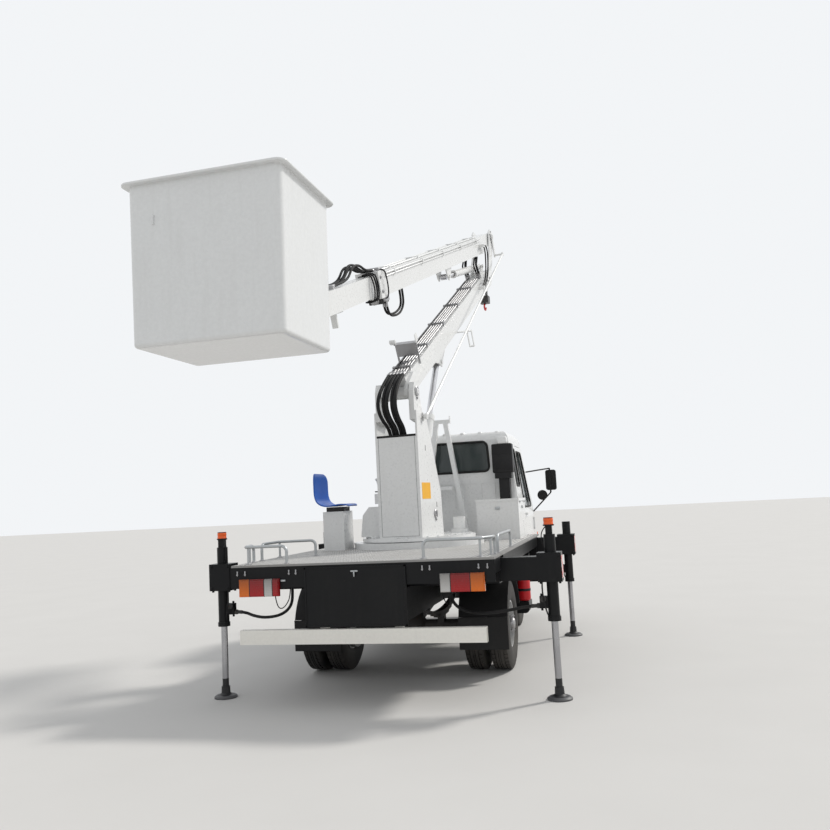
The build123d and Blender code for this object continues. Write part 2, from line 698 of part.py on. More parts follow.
def outrigger_beam(side, row, jack_x, beacon_on):
    """Box beam with a head round the jack's tube, a collar at its foot and at the rear a beacon on a stem."""
    x1 = jack_x - JACK_HEAD_IN
    x0 = jack_x - BEAM_IN
    y0 = row - BEAM_W / 2
    y1 = row + BEAM_W / 2
    beam = block(x0, x1, y0, y1, BEAM_Z0, BEAM_Z1)
    beam -= block(x0, x1, y0 + BEAM_T, y1 - BEAM_T, BEAM_Z0 + BEAM_T, BEAM_Z1 - BEAM_T)
    g = HEAD_GROW
    head = block(x1, jack_x + JACK_HEAD_OUT, y0 - g, y1 + g, JACK_HEAD_Z0, JACK_HEAD_Z1)
    jack = upright(jack_x, row, JACK_Z0, JACK_Z1, JACK_R)
    collar = upright(jack_x, row, JACK_Z0, JACK_Z0 + COLLAR_H, COLLAR_R)
    # valve block and its pipe on the inner side of the jack's tube
    valve_x = jack_x - JACK_R - VALVE_L
    valve = block(valve_x, jack_x - JACK_R + 6.0, row - 26.0, row + 26.0, VALVE_Z0, VALVE_Z0 + VALVE_H)
    valve += upright(valve_x + 14.0, row, VALVE_Z0 - 18.0, VALVE_Z0 + VALVE_H + 18.0, 9.0)
    body = beam + head + jack + collar + valve
    if beacon_on:
        half = COLUMN_W / 2
        body += block(jack_x - half, jack_x + half, row - half, row + half, JACK_Z1, COLUMN_Z1)
        body += upright(jack_x, row, COLUMN_Z1, COLUMN_Z1 + BEACON_H, BEACON_R)
        body += upright(jack_x, row, COLUMN_Z1, COLUMN_Z1 + 10.0, BEACON_R + 7.0)
    body -= upright(jack_x, row, JACK_Z0, JACK_Z1 - ROD_IN / 3, JACK_BORE)
    return on_side(body, side)


def outrigger_leg(side, row, jack_x):
    """Jack rod on a round foot, with the tapered socket between them."""
    body = upright(jack_x, row, FOOT_H, JACK_Z0 + ROD_IN, ROD_R)
    sole = (
        (0.0, 0.0), (FOOT_R, 0.0), (FOOT_R, FOOT_H * 0.5), (FOOT_R - 14.0, FOOT_H), (ANKLE_R + 14.0, FOOT_H + 6.0),
        (ANKLE_R, FOOT_H + 18.0), (ROD_R + 8.0, ANKLE_H), (0.0, ANKLE_H),
    )
    foot = revolve(Plane.XZ * polygon(sole), Axis.Z)
    return on_side(body + Pos(jack_x, row, 0) * foot, side)


def under_ride_bar():
    """Square bar across the rear on two drop arms."""
    bar = block(-BAR_X, BAR_X, BAR_Y0, BAR_Y1, BAR_Z0, BAR_Z1)
    bar -= block(-BAR_X, BAR_X, BAR_Y0 + 4.0, BAR_Y1 - 4.0, BAR_Z0 + 4.0, BAR_Z1 - 4.0)
    arm = block(RAIL_IN, RAIL_OUT, BAR_Y1, FRAME_REAR, BAR_Z0 + 20.0, RAIL_Z1)
    return apart(bar, both_sides(arm))


def tail_lamps():
    """Lamp bodies under the deck's rear edge, each a tray with a raised lens."""
    rim = 8.0
    body = block(LAMP_X0, LAMP_X1, DECK_Y0 - LAMP_DEPTH + rim, DECK_Y0, LAMP_Z0, LAMP_Z1)
    lens = block(LAMP_X0 + rim, LAMP_X1 - rim, DECK_Y0 - LAMP_DEPTH, DECK_Y0, LAMP_Z0 + rim, LAMP_Z1 - rim)
    return both_sides(body + lens)


def low_rail(corners):
    """Bent tube over the deck's edge: its ends turn down to the deck, with a post at each corner."""
    z = DECK_Z + RAIL_TOP
    first = corners[0]
    last = corners[-1]
    points = [(*first, DECK_Z), *[(x, y, z) for x, y in corners], (*last, DECK_Z)]
    path = FilletPolyline(*points, radius=RAIL_BEND)
    section = Plane(points[0], z_dir=(0, 0, 1)) * Circle(RAIL_R)
    rail = sweep(section, path=path)
    posts = []
    for x, y in corners[1:-1]:
        inward = 14.0 if len(corners) > 3 else 0.0
        posts.append(upright(x - math.copysign(inward, x), y + inward, DECK_Z, z - RAIL_R / 2, RAIL_R * 0.8))
    for post in posts:
        rail += post
    return rail


def deck_rails():
    return apart(*[low_rail(corners) for corners in LOW_RAILS])


def deck_cabinet():
    """Steel cabinet with an overhanging lid, and the pedestal of the operator's seat."""
    lid_h = 24.0
    lid_out = 8.0
    box = block(CABINET_X0, CABINET_X1, CABINET_Y0, CABINET_Y1, DECK_Z, CABINET_Z1 - lid_h)
    lid = block(
        CABINET_X0 - lid_out, CABINET_X1 + lid_out, CABINET_Y0 - lid_out, CABINET_Y1 + lid_out,
        CABINET_Z1 - lid_h, CABINET_Z1,
    )
    pedestal = block(PEDESTAL_X0, PEDESTAL_X1, PEDESTAL_Y0, PEDESTAL_Y1, DECK_Z, SEAT_Z - SEAT_LIFT)
    return apart(box, lid, pedestal)


def boom_rest():
    """Splayed stand at the front of the deck that the lower boom lies in."""
    y1 = REST_Y + REST_L
    under = REST_Z - REST_BAR
    inner = LOWER_W / 2 + REST_GAP
    outer = inner + HORN_T
    horn = block(inner, outer, REST_Y, y1, REST_Z, REST_Z + HORN_H)
    bar = block(-outer, outer, REST_Y, y1, under, REST_Z)
    leg = along_y(polygon(((30.0, under), (82.0, under), (REST_FOOT, DECK_Z), (REST_FOOT - 52.0, DECK_Z))), REST_Y, y1)
    tie_x = (REST_FOOT - 52.0) * 0.45
    tie = block(-tie_x, tie_x, REST_Y + 10.0, y1 - 10.0, 1640.0, 1680.0)
    shoe = block(REST_FOOT - 80.0, REST_FOOT + 30.0, REST_Y - 30.0, y1 + 30.0, DECK_Z, DECK_Z + 10.0)
    side = leg + shoe
    return bar + horn + mirrored(horn) + side + mirrored(side) + tie


def operator_seat():
    """Moulded seat shell that faces right: its pan curves up into the back."""
    x = SEAT_X
    z = SEAT_Z
    t = SEAT_T
    top = z + SEAT_BACK_H
    front = x + SEAT_DEEP
    outside = [
        (front, z - 14.0), (front - 45.0, z), (x - 60.0, z - 8.0), (x - 128.0, z + 30.0), (x - 158.0, z + 120.0),
        (x - 178.0, top),
    ]
    inside = [
        (x - 178.0 + t, top), (x - 158.0 + t, z + 124.0), (x - 122.0, z + 42.0), (x - 58.0, z - 8.0 + t),
        (front - 45.0, z + t), (front, z - 14.0 + t),
    ]
    edges = [Spline(*outside), Line(outside[-1], inside[0]), Spline(*inside), Line(inside[-1], outside[0])]
    shell = along_y(make_face(edges), SEAT_Y - SEAT_W / 2, SEAT_Y + SEAT_W / 2)
    mould = rounded((
        (x - 260.0, SEAT_Y - SEAT_W / 2, 30.0), (front, SEAT_Y - SEAT_W / 2, 90.0),
        (front, SEAT_Y + SEAT_W / 2, 90.0), (x - 260.0, SEAT_Y + SEAT_W / 2, 30.0),
    ))
    shell &= along_z(mould, z - SEAT_LIFT, top + 80.0)
    back = rounded((
        (SEAT_Y - SEAT_W / 2, z - 100.0, 20.0), (SEAT_Y + SEAT_W / 2, z - 100.0, 20.0),
        (SEAT_Y + SEAT_W / 2 - 20.0, top, 90.0), (SEAT_Y - SEAT_W / 2 + 20.0, top, 90.0),
    ))
    shell &= along_x(back, x - 300.0, x + 300.0)
    frame = block(PEDESTAL_X0 + 20.0, PEDESTAL_X1 - 10.0, SEAT_Y - 90.0, SEAT_Y + 90.0, z - SEAT_LIFT, z - 16.0)
    return apart(shell, frame)


def slew_base():
    """Ring on the deck under the turntable, with its neck down to the sub-frame."""
    base = upright(0, SLEW_Y, DECK_Z, BASE_Z1, BASE_R)
    return base + upright(0, SLEW_Y, RAIL_Z1 + SUB_H, DECK_Z, NECK_R)


def tyre(x0, y):
    """Tyre with its inner face at x0 and its middle at the axle."""
    w = TYRE_W
    half = (
        (x0 + 24.0, RIM_R), (x0 + 4.0, RIM_R + 40.0), (x0, TYRE_R - 95.0), (x0 + 12.0, TYRE_R - 22.0),
        (x0 + 30.0, TYRE_R), (x0 + w - 30.0, TYRE_R), (x0 + w - 12.0, TYRE_R - 22.0),
        (x0 + w, TYRE_R - 95.0), (x0 + w - 4.0, RIM_R + 40.0), (x0 + w - 24.0, RIM_R),
    )
    return Pos(0, y, TYRE_R) * revolve(polygon(half), Axis.X)


def rim(x0, y, dish):
    """Rim drum from x0 over the tyre's width, with its holed disc at dish."""
    outer = x0 + TYRE_W - 20.0
    lip = RIM_R - RIM_T
    outline = (
        (x0 + 20.0, RIM_R), (outer, RIM_R), (outer, lip), (dish + RIM_T, lip), (dish + RIM_T + 12.0, lip - 30.0),
        (dish + RIM_T, HUB_R), (dish + RIM_T, HUB_BORE), (dish, HUB_BORE), (dish, HUB_R), (dish + 12.0, lip - 30.0),
        (dish, lip), (x0 + 20.0, lip),
    )
    body = revolve(polygon(outline), Axis.X)
    for k in range(RIM_HAND_HOLES):
        a = math.radians(360.0 / RIM_HAND_HOLES * k)
        y_hole = HAND_HOLE_AT * math.cos(a)
        z_hole = HAND_HOLE_AT * math.sin(a)
        body -= rod((dish - 20.0, y_hole, z_hole), (dish + 50.0, y_hole, z_hole), HAND_HOLE_R)
    return Pos(0, y, TYRE_R) * body


def rear_tyres(side):
    inner = rear_inner()
    return on_side(apart(tyre(inner, 0.0), tyre(inner + TYRE_W + TWIN_GAP, 0.0)), side)


def rear_rims(side):
    """Twin rims with their discs back to back, on one hub."""
    inner = rear_inner()
    outer = inner + TYRE_W + TWIN_GAP
    middle = outer - TWIN_GAP / 2
    turned_in = mirror(rim(0.0, 0.0, TYRE_W + TWIN_GAP / 2), Plane.YZ)
    body = rim(outer, 0.0, middle) + Pos(inner + TYRE_W, 0, 0) * turned_in
    hub = rod((inner + 45.0, 0, TYRE_R), (outer + 70.0, 0, TYRE_R), HUB_R)
    return on_side(body + hub, side)


def front_tyre(side):
    return on_side(tyre(FRONT_OUT - TYRE_W, WHEELBASE), side)


def front_rim(side):
    x0 = FRONT_OUT - TYRE_W
    body = rim(x0, WHEELBASE, x0 + FRONT_DISH)
    body += rod((x0 + FRONT_DISH - 8.0, WHEELBASE, TYRE_R), (x0 + FRONT_DISH + 52.0, WHEELBASE, TYRE_R), HUB_R - 4.0)
    return on_side(body, side)


def face_outline():
    """Whole front outline of the cab from its right half, anticlockwise from the lower left."""
    right = list(CAB_FACE)
    left = [(-x, z, r) for x, z, r in right[:-1]]
    return left[:1] + right + left[:0:-1]


def plan_outline():
    """Outline of the cab seen from above, a little outside the other two where they are straight."""
    x = CAB_X + PLAN_OUT
    rear = CAB_REAR - PLAN_OUT
    front = CAB_FRONT + PLAN_OUT
    return ((-x, rear, CAB_REAR_R), (x, rear, CAB_REAR_R), (x, front, CAB_FRONT_R), (-x, front, CAB_FRONT_R))


def cab_volume(inset):
    """Cab's outer form pulled in by inset, with the raised floor over the rails."""
    side = along_x(rounded(CAB_SIDE, inset), -CAB_X - 10.0, CAB_X + 10.0)
    front = along_y(rounded(face_outline(), inset), CAB_REAR - 10.0, CAB_FRONT + 10.0)
    plan = along_z(rounded(plan_outline(), inset), CAB_FLOOR - 10.0, CAB_SIDE[2][1] + 60.0)
    x = TUNNEL_X + inset
    tunnel = block(-x, x, CAB_REAR - 10.0, TUNNEL_Y + inset, CAB_FLOOR - 20.0, TUNNEL_Z + inset)
    return (side & front & plan) - tunnel


def side_walls():
    """Thickness of the cab's two side walls, from the outer form down to its inner face."""
    core = along_y(rounded(face_outline(), CAB_T), CAB_REAR - 10.0, CAB_FRONT + 10.0)
    return cab_volume(0.0) - core


def side_prism(corners, inset):
    return along_x(rounded(corners, inset), CAB_X / 2, CAB_X + 20.0)


def end_windows(inset):
    """Prisms through the windscreen's and the rear window's openings, and the rear corner windows."""
    front = along_y(rounded(WINDSCREEN, inset), CAB_FRONT - 700.0, CAB_FRONT + 20.0)
    rear = along_y(rounded(REAR_WINDOW, inset), CAB_REAR - 20.0, CAB_REAR + 120.0)
    return apart(front, rear, both_sides(side_prism(QUARTER, inset)))


def cab_pieces():
    outside = cab_volume(0.0)
    skin = outside - cab_volume(CAB_T)
    walls = side_walls()
    opening = walls & side_prism(DOOR, 0.0)
    leaf = (walls & side_prism(DOOR, DOOR_GAP)) - side_prism(DOOR_WINDOW, 0.0)
    glass_skin = cab_volume(GLASS_IN) - cab_volume(GLASS_IN + GLASS_T)
    shell = skin - both_sides(opening) - end_windows(0.0)
    for k in range(RIB_COUNT):
        x = (k - (RIB_COUNT - 1) / 2) * RIB_PITCH
        corners = (
            (x - RIB_W / 2, RIB_Z0, 20.0), (x + RIB_W / 2, RIB_Z0, 20.0),
            (x + RIB_W / 2, RIB_Z1, 20.0), (x - RIB_W / 2, RIB_Z1, 20.0),
        )
        shell -= along_y(rounded(corners), CAB_REAR - 1.0, CAB_REAR + RIB_DEEP)
    tilt_tube = cross_rod((CAB_TILT_Y, CAB_TILT_Z), -RAIL_IN + 4.0, RAIL_IN - 4.0, HINGE_R + 9.0)
    tilt_arm = block(120.0, 160.0, CAB_TILT_Y - 60.0, CAB_TILT_Y, CAB_TILT_Z, CAB_FLOOR + 20.0)
    door = leaf + door_knuckles() + door_handle()
    door_glass = glass_skin & side_prism(DOOR_WINDOW, 0.0)
    shell = apart(shell + both_sides(frame_knuckles()), tilt_tube, both_sides(tilt_arm))
    return shell, door, door_glass, glass_skin & end_windows(0.0)


def hinge_half(y1, z0, z1):
    """Round knuckle on the door's hinge line with its strap, reaching to y1."""
    x = CAB_X + HINGE_OUT
    near = min(HINGE_Y, y1)
    far = max(HINGE_Y, y1)
    return upright(x, HINGE_Y, z0, z1, HINGE_R) + block(CAB_X - 6.0, CAB_X + 5.0, near, far, z0, z1)


def door_knuckles():
    body = hinge_half(HINGE_Y - HINGE_ARM, HINGE_LOW, HINGE_LOW + HINGE_H)
    return body + Pos(0, 0, HINGE_PITCH) * body


def frame_knuckles():
    """Knuckles on the cab above and below each of the door's."""
    ends = ((HINGE_LOW - 32.0, HINGE_LOW - 2.0), (HINGE_LOW + HINGE_H + 2.0, HINGE_LOW + HINGE_H + 32.0))
    halves = [hinge_half(HINGE_Y + HINGE_ARM, z0, z1) for z0, z1 in ends]
    strap_gap = block(CAB_X - 10.0, CAB_X, HINGE_Y - 4.0, HINGE_Y + 6.0, HINGE_LOW - 40.0, HINGE_LOW + HINGE_H + 40.0)
    body = (halves[0] + halves[1]) - strap_gap
    return body + Pos(0, 0, HINGE_PITCH) * body


def door_handle():
    """Pull handle standing off the door near its rear edge."""
    x = CAB_X - 6.0
    y = DOOR[0][0] + HANDLE_IN
    grip = block(x + 16.0, x + 30.0, y, y + HANDLE_L, HANDLE_Z, HANDLE_Z + 26.0)
    foot = block(x - 20.0, x + 18.0, y, y + 26.0, HANDLE_Z, HANDLE_Z + 26.0)
    return grip + foot + Pos(0, HANDLE_L - 26.0, 0) * foot


def cab_seats():
    """Two seats with a cushion, a leaning back and a head restraint."""
    y = CAB_REAR
    solids = []
    for x in (-SEATS_X, SEATS_X):
        cushion = rounded((
            (x - 230.0, y + 290.0, 60.0), (x + 230.0, y + 290.0, 60.0), (x + 230.0, y + 800.0, 60.0),
            (x - 230.0, y + 800.0, 60.0),
        ))
        solids.append(along_z(cushion, CAB_REAR_FLOOR + CAB_T, 1170.0))
        back = rounded((
            (y + 150.0, 1175.0, 20.0), (y + 290.0, 1175.0, 30.0), (y + 240.0, 1760.0, 40.0), (y + 150.0, 1760.0, 30.0),
        ))
        solids.append(along_x(back, x - 215.0, x + 215.0))
        solids.append(block(x - 120.0, x + 120.0, y + 160.0, y + 230.0, 1760.0, 1880.0))
    return apart(*solids)


def dashboard():
    """Dashboard across the cab with the steering column and wheel on the right."""
    x = CAB_X - CAB_T - 64.0
    y = CAB_FRONT
    corners = (
        (y - 430.0, 1140.0, 30.0), (y - 160.0, 1040.0, 20.0), (y - 160.0, 1330.0, 20.0),
        (y - 350.0, 1370.0, 40.0), (y - 420.0, 1300.0, 40.0),
    )
    body = along_x(rounded(corners), -x, x)
    bracket = block(-60.0, 60.0, y - 290.0, y - 72.0, 1080.0, 1180.0)
    hub = (WHEEL_X, y - 630.0, 1390.0)
    column = rod((WHEEL_X, y - 360.0, 1250.0), hub, 26.0)
    plane = Plane(hub, z_dir=(0, -270.0, 140.0))
    wheel = plane * Torus(STEER_R, 15.0)
    spoke = plane * Box(2 * STEER_R, 34.0, 14.0)
    return apart(body + bracket + column + wheel + spoke)


def cab_front_pieces():
    """Grille with open slots, and the headlamp bodies beside it."""
    y = CAB_FRONT
    body = block(-600.0, 600.0, y - 30.0, y + 16.0, 860.0, 1120.0)
    for k in range(GRILLE_SLOTS):
        z = 884.0 + k * GRILLE_PITCH
        body -= block(-560.0, 560.0, y + 2.0, y + 20.0, z, z + GRILLE_PITCH * 0.55)
    lamp = rounded(((632.0, 760.0, 30.0), (800.0, 760.0, 30.0), (800.0, 960.0, 30.0), (632.0, 960.0, 30.0)))
    lamps = both_sides(along_y(lamp, y - 130.0, y + 16.0))
    outside = cab_volume(0.0)
    return apart(body - outside, *[(lamp_body - outside) for lamp_body in lamps.solids()])


def mirrors():
    """Mirror heads on bent tube arms, each with a small round mirror under it."""
    y = CAB_FRONT
    top = (MIRROR_X, y + 30.0, 1880.0)
    foot = (MIRROR_X, y + 30.0, 1560.0)
    top_root = (CAB_X - 60.0, y - 260.0, 1838.0)
    low_root = (CAB_X - 30.0, y - 140.0, 1300.0)
    arms = rod(top_root, top, 9.0) + rod(low_root, foot, 9.0) + rod(foot, top, 11.0)
    face = rounded((
        (MIRROR_X - 60.0, 1590.0, 30.0), (MIRROR_X + 80.0, 1590.0, 30.0),
        (MIRROR_X + 80.0, 1860.0, 30.0), (MIRROR_X - 60.0, 1860.0, 30.0),
    ))
    head = along_y(face, y + 44.0, y + 80.0) + block(MIRROR_X - 20.0, MIRROR_X + 20.0, y + 26.0, y + 46.0, 1690.0, 1760.0)
    small = rod((MIRROR_X - 110.0, y - 10.0, 1530.0), (MIRROR_X - 110.0, y + 14.0, 1530.0), 66.0)
    outside = cab_volume(0.0)
    return both_sides(apart((arms + head) - outside, small))


def air_intake():
    """Air intake behind the cab: duct, box and a hooded inlet on top."""
    y = CAB_REAR
    box = block(600.0, 790.0, y - 155.0, y - 25.0, 1740.0, 2030.0)
    duct = block(640.0, 760.0, y - 125.0, y - 25.0, 1500.0, 1740.0)
    hood = rounded(((y - 150.0, 2030.0, 10.0), (y - 40.0, 2030.0, 10.0), (y - 40.0, 2130.0, 50.0), (y - 150.0, 2130.0, 50.0)))
    mount = block(650.0, 750.0, y - 25.0, y, 1900.0, 1960.0)
    return apart(box, duct, along_x(hood, 645.0, 755.0), mount)


def turret():
    """Slewing frame: turntable, two tall side panels with ears, rear panel, valve bank and motor."""
    y, z = P1
    panel = polygon((
        (CHEEK_BACK, TABLE_Z1), (130.0, TABLE_Z1), (110.0, 1600.0), (-70.0, 2020.0), (-230.0, 2335.0),
        (-380.0, CHEEK_TOP), (CHEEK_BACK, CHEEK_TOP),
    ))
    ear = polygon((
        (CHEEK_BACK, 2300.0), (-250.0, 2260.0), (y + EAR_R, z), (y + EAR_R * 0.6, z + EAR_R), (y - EAR_R * 0.6, z + EAR_R),
        (y - EAR_R, z),
    ))
    bore = cross_rod(P1, -CHEEK_OUT, CHEEK_OUT, PIN_R)
    foot = level_foot(P1)
    stub = cross_rod(foot, CHEEK_IN, LEVEL_X + 14.0, LEVEL_PIN_R)
    plate = cross_rod(foot, CHEEK_IN, CHEEK_OUT, 46.0)
    side_web = block(CHEEK_IN - 40.0, CHEEK_IN, CHEEK_BACK + PLATE_T, CHEEK_BACK + PLATE_T * 2, TABLE_Z1, BOX_BACK_Z)
    table = upright(0, 0, TABLE_Z0, TABLE_Z1, TABLE_R)
    back = block(-CHEEK_IN, CHEEK_IN, CHEEK_BACK, CHEEK_BACK + PLATE_T, TABLE_Z1, BOX_BACK_Z)
    front = block(-CHEEK_IN, CHEEK_IN, 90.0, 90.0 + PLATE_T, TABLE_Z1, 1300.0)
    manifold_y = CHEEK_BACK + PLATE_T
    manifold = block(-150.0, 150.0, manifold_y, manifold_y + 110.0, HOSE_BLOCK_Z - 60.0, HOSE_BLOCK_Z)
    pin = cross_rod(LIFT_BASE, -EYE_HALF - 4.0, EYE_HALF + 4.0, PIN_R - 4.0)
    boss = cross_rod(LIFT_BASE, EYE_HALF + 4.0, CHEEK_IN, PIN_R + 12.0)
    side_box = rounded((
        (-474.0, 1205.0, 10.0), (-CHEEK_OUT, 1205.0, 10.0), (-CHEEK_OUT, 1495.0, 10.0),
        (-380.0, 1495.0, 10.0), (-448.0, 1417.0, 10.0),
    ))
    bank = block(-CHEEK_OUT - 120.0, -CHEEK_OUT, -300.0, 40.0, 1520.0, 1620.0)
    levers = []
    for k in range(LEVERS):
        lever_y = -260.0 + k * 52.0
        tip = (-CHEEK_OUT - 110.0, lever_y, 1760.0)
        levers.append(rod((-CHEEK_OUT - 70.0, lever_y, 1610.0), tip, 6.0) + Pos(*tip) * Sphere(13.0))
    motor = upright(310.0, 370.0, TABLE_Z1, 1350.0, 62.0) + upright(310.0, 370.0, TABLE_Z1, 1225.0, 88.0)
    return apart(
        table, both_sides(apart(along_x(panel, CHEEK_IN, CHEEK_OUT), along_x(ear, EAR_IN, CHEEK_IN) - bore, boss)),
        back, front, manifold, pin, plate + stub, both_sides(side_web), along_y(side_box, -350.0, 60.0), bank, *levers,
        motor, cross_rod(P1, -CHEEK_OUT, CHEEK_OUT, PIN_R - PIN_PLAY),
    )


def level_foot(pin):
    """Pin of the levelling parallelogram, offset alike from the heel pin and the elbow pin."""
    return (pin[0] + LEVEL_ARM[0], pin[1] + LEVEL_ARM[1])


def lower_boom():
    """Box boom with heel cheeks, head plates up to the elbow pin, clevises, lug and rod guide."""
    half = LOWER_W / 2
    low = LOWER_RISE - LOWER_H / 2
    high = LOWER_RISE + LOWER_H / 2
    box = side_plate(lower_band(HEEL_L, LOWER_LEN, low, high), -half, half)
    heel = polygon((lower_at(HEEL_L + 160.0, high), lower_at(0.0, EAR_R), lower_at(-EAR_R * 0.7, EAR_R * 0.7),
                    lower_at(-EAR_R, 0.0), lower_at(0.0, -EAR_R), lower_at(HEEL_L + 160.0, low)))
    heel_bore = cross_rod(P1, -HEEL_OUT, HEEL_OUT, PIN_R)
    cheeks = both_sides(along_x(heel, half, HEEL_OUT) - heel_bore)
    barrel = cross_rod(P1, -half, half, PIN_R + 26.0) - heel_bore
    y, z = P2
    head = polygon((
        lower_at(LOWER_LEN - 330.0, low + 6.0), lower_at(LOWER_LEN + 30.0, low + 6.0), (y + 92.0, z - 40.0), (y + 92.0, z + 60.0),
        (y + 40.0, z + 92.0), (y - 50.0, z + 92.0), (y - 110.0, z + 40.0), (y - 130.0, z - 240.0),
    ))
    inner_plate = along_x(head, half, HEAD_IN) & side_plate(lower_band(LOWER_LEN - 400.0, LOWER_LEN + 60.0, low, high), half, HEAD_IN)
    plates = both_sides(apart(along_x(head, HEAD_IN, HEAD_OUT) - cross_rod(P2, HEAD_IN, HEAD_OUT, PIN_R), inner_plate))
    ears = both_sides(clevis(LIFT_EYE, lower_at(1050.0, low), lower_at(1650.0, low), LIFT_EAR, 24.0))
    base_ears = both_sides(clevis(FOLD_BASE, lower_at(LOWER_LEN - 90.0, high), lower_at(LOWER_LEN - 420.0, high), FOLD_EAR, 20.0))
    base_pin = cross_rod(FOLD_BASE, -EYE_HALF - 20.0, EYE_HALF + 20.0, FOLD_PIN_R)
    lug_z = -60.0
    lug = polygon((lower_at(LOWER_LEN - 20.0, lug_z - 30.0), lower_at(LOWER_LEN - 20.0, lug_z + 20.0),
                   (hook_pin()[0], hook_pin()[1] + 44.0), (hook_pin()[0] + 38.0, hook_pin()[1] + 8.0),
                   (hook_pin()[0], hook_pin()[1] - 42.0)))
    lug_plate = along_x(lug, -12.0, 12.0) - cross_rod(hook_pin(), -12.0, 12.0, HOOK_PIN_R + PIN_PLAY)
    clamp = side_plate(lower_band(HOSE_A - 40.0, HOSE_A, 20.0, 60.0), half, ELBOW_HOSES[-1][0] + 20.0)
    return apart(
        box, cheeks, barrel, plates, ears, base_ears, base_pin, lug_plate, clamp, rod_guide(low),
        cross_rod(P2, -HEAD_OUT - 20.0, HEAD_OUT + 30.0, PIN_R - PIN_PLAY),
    )


def rod_guide(under):
    """Closed frame round the levelling rod, hung from the boom's underside by its top bar."""
    reach = LEVEL_R + GUIDE_PLAY
    out = reach + GUIDE_BAR
    far = GUIDE_AT + GUIDE_L
    floor = -math.hypot(*LEVEL_ARM) - LEVEL_R - GUIDE_GAP
    frame = side_plate(lower_band(GUIDE_AT, far, floor - GUIDE_BAR, under), LEVEL_X - out, LEVEL_X + out)
    frame -= side_plate(lower_band(GUIDE_AT - 1.0, far + 1.0, floor, under - GUIDE_BAR), LEVEL_X - reach, LEVEL_X + reach)
    bar = side_plate(lower_band(GUIDE_AT, far, under - GUIDE_BAR, under), LOWER_W / 4, LEVEL_X - reach)
    return frame + bar


def clevis(pin, near, far, sides, radius):
    """One plate beside a cylinder's eye, with a round boss on its outer side at the pin."""
    x0, x1, reach = sides
    spread = Vector(*far) - Vector(*near)
    along = spread.normalized() * reach
    outward = (Vector(*pin) - (Vector(*near) + spread * 0.5))
    beyond = outward.normalized() * (reach * 0.9)
    points = (
        near, far, (pin[0] + along.X, pin[1] + along.Y), (pin[0] + beyond.X, pin[1] + beyond.Y),
        (pin[0] - along.X, pin[1] - along.Y),
    )
    return along_x(polygon(points), x0, x1) + cross_rod(pin, x1, x1 + 12.0, radius)


def hook_pin():
    lug = lower_at(LOWER_LEN, -60.0)
    return (lug[0] + HOOK_OUT, lug[1] + 2.0)


def boom_pipes():
    """Six pipes along the lower boom's top under clamps, and the cradle for the folded upper boom."""
    solids = []
    for x in PIPE_X:
        solids.append(link_rod(lower_at(PIPE_NEAR, PIPE_ACROSS), lower_at(LOWER_LEN - 520.0, PIPE_ACROSS), PIPE_R, x))
    top = LOWER_RISE + LOWER_H / 2
    edge = PIPE_X[-1] + PIPE_R + 10.0
    for along in PIPE_CLAMPS:
        solids.append(side_plate(lower_band(along, along + 34.0, PIPE_ACROSS + PIPE_R, PIPE_ACROSS + PIPE_R + 8.0), -edge, edge))
        for x in (-edge, edge - 10.0):
            solids.append(side_plate(lower_band(along, along + 34.0, top, PIPE_ACROSS + PIPE_R), x, x + 10.0))
    return solids


def boom_cradle():
    """Plate astride the lower boom with a shelf on top, on which the upper boom lies folded."""
    top = LOWER_RISE + LOWER_H / 2
    band = lower_band(CRADLE_AT, CRADLE_AT + 14.0, PIPE_ACROSS + 30.0, CRADLE_TOP)
    plate = side_plate(band, -CRADLE_X, CRADLE_X)
    shelf = side_plate(lower_band(CRADLE_AT - 30.0, CRADLE_AT + 44.0, CRADLE_TOP, CRADLE_TOP + 8.0), -CRADLE_X, CRADLE_X)
    leg = side_plate(lower_band(CRADLE_AT, CRADLE_AT + 14.0, top - 40.0, PIPE_ACROSS + 30.0), LOWER_W / 2, CRADLE_X)
    return apart(*boom_pipes(), plate, shelf, both_sides(leg))


def hook_block():
    """Swivel block under the boom's head with an open hook."""
    y, z = hook_pin()
    cheek = eye((y, z), 18.0, 40.0, 34.0, HOOK_PIN_R) + block(18.0, 40.0, y - 28.0, y + 28.0, z - 160.0, z - 24.0)
    body = cheek + mirrored(cheek)
    body += block(-60.0, 60.0, y - 55.0, y + 55.0, z - 250.0, z - 150.0)
    body += cross_rod((y, z), -40.0, 40.0, HOOK_PIN_R)
    ring = Plane((0, y, z - 300.0), z_dir=(1, 0, 0)) * Torus(40.0, 12.0)
    ring -= block(-30.0, 30.0, y + 6.0, y + 80.0, z - 300.0, z - 240.0)
    return body + ring + upright(0, y, z - 262.0, z - 250.0, 14.0)


def cylinder(base, top, sizes):
    """Barrel and rod of a hydraulic cylinder from its base pin toward the rod's eye."""
    barrel_l, barrel_r, rod_r, pin_r, eye_r, hidden = sizes
    angle = direction(base, top)
    length = math.dist(base, top)
    mouth = polar(base, angle, barrel_l)
    head = polar(base, angle, barrel_l - 60.0)
    barrel = eye(base, -EYE_HALF, EYE_HALF, eye_r, pin_r + PIN_PLAY)
    barrel += link_rod(polar(base, angle, eye_r - 6.0), mouth, barrel_r) + link_rod(head, mouth, barrel_r + 5.0)
    barrel -= link_rod(polar(base, angle, eye_r + 40.0), polar(mouth, angle, 5.0), rod_r + 4.0)
    barrel -= cross_rod(base, -EYE_HALF * 2, EYE_HALF * 2, pin_r + PIN_PLAY)
    shaft = link_rod(polar(base, angle, barrel_l - hidden), polar(base, angle, length - 34.0), rod_r)
    shaft += cross_rod(top, -EYE_HALF, EYE_HALF, rod_r + 10.0)
    return barrel, shaft


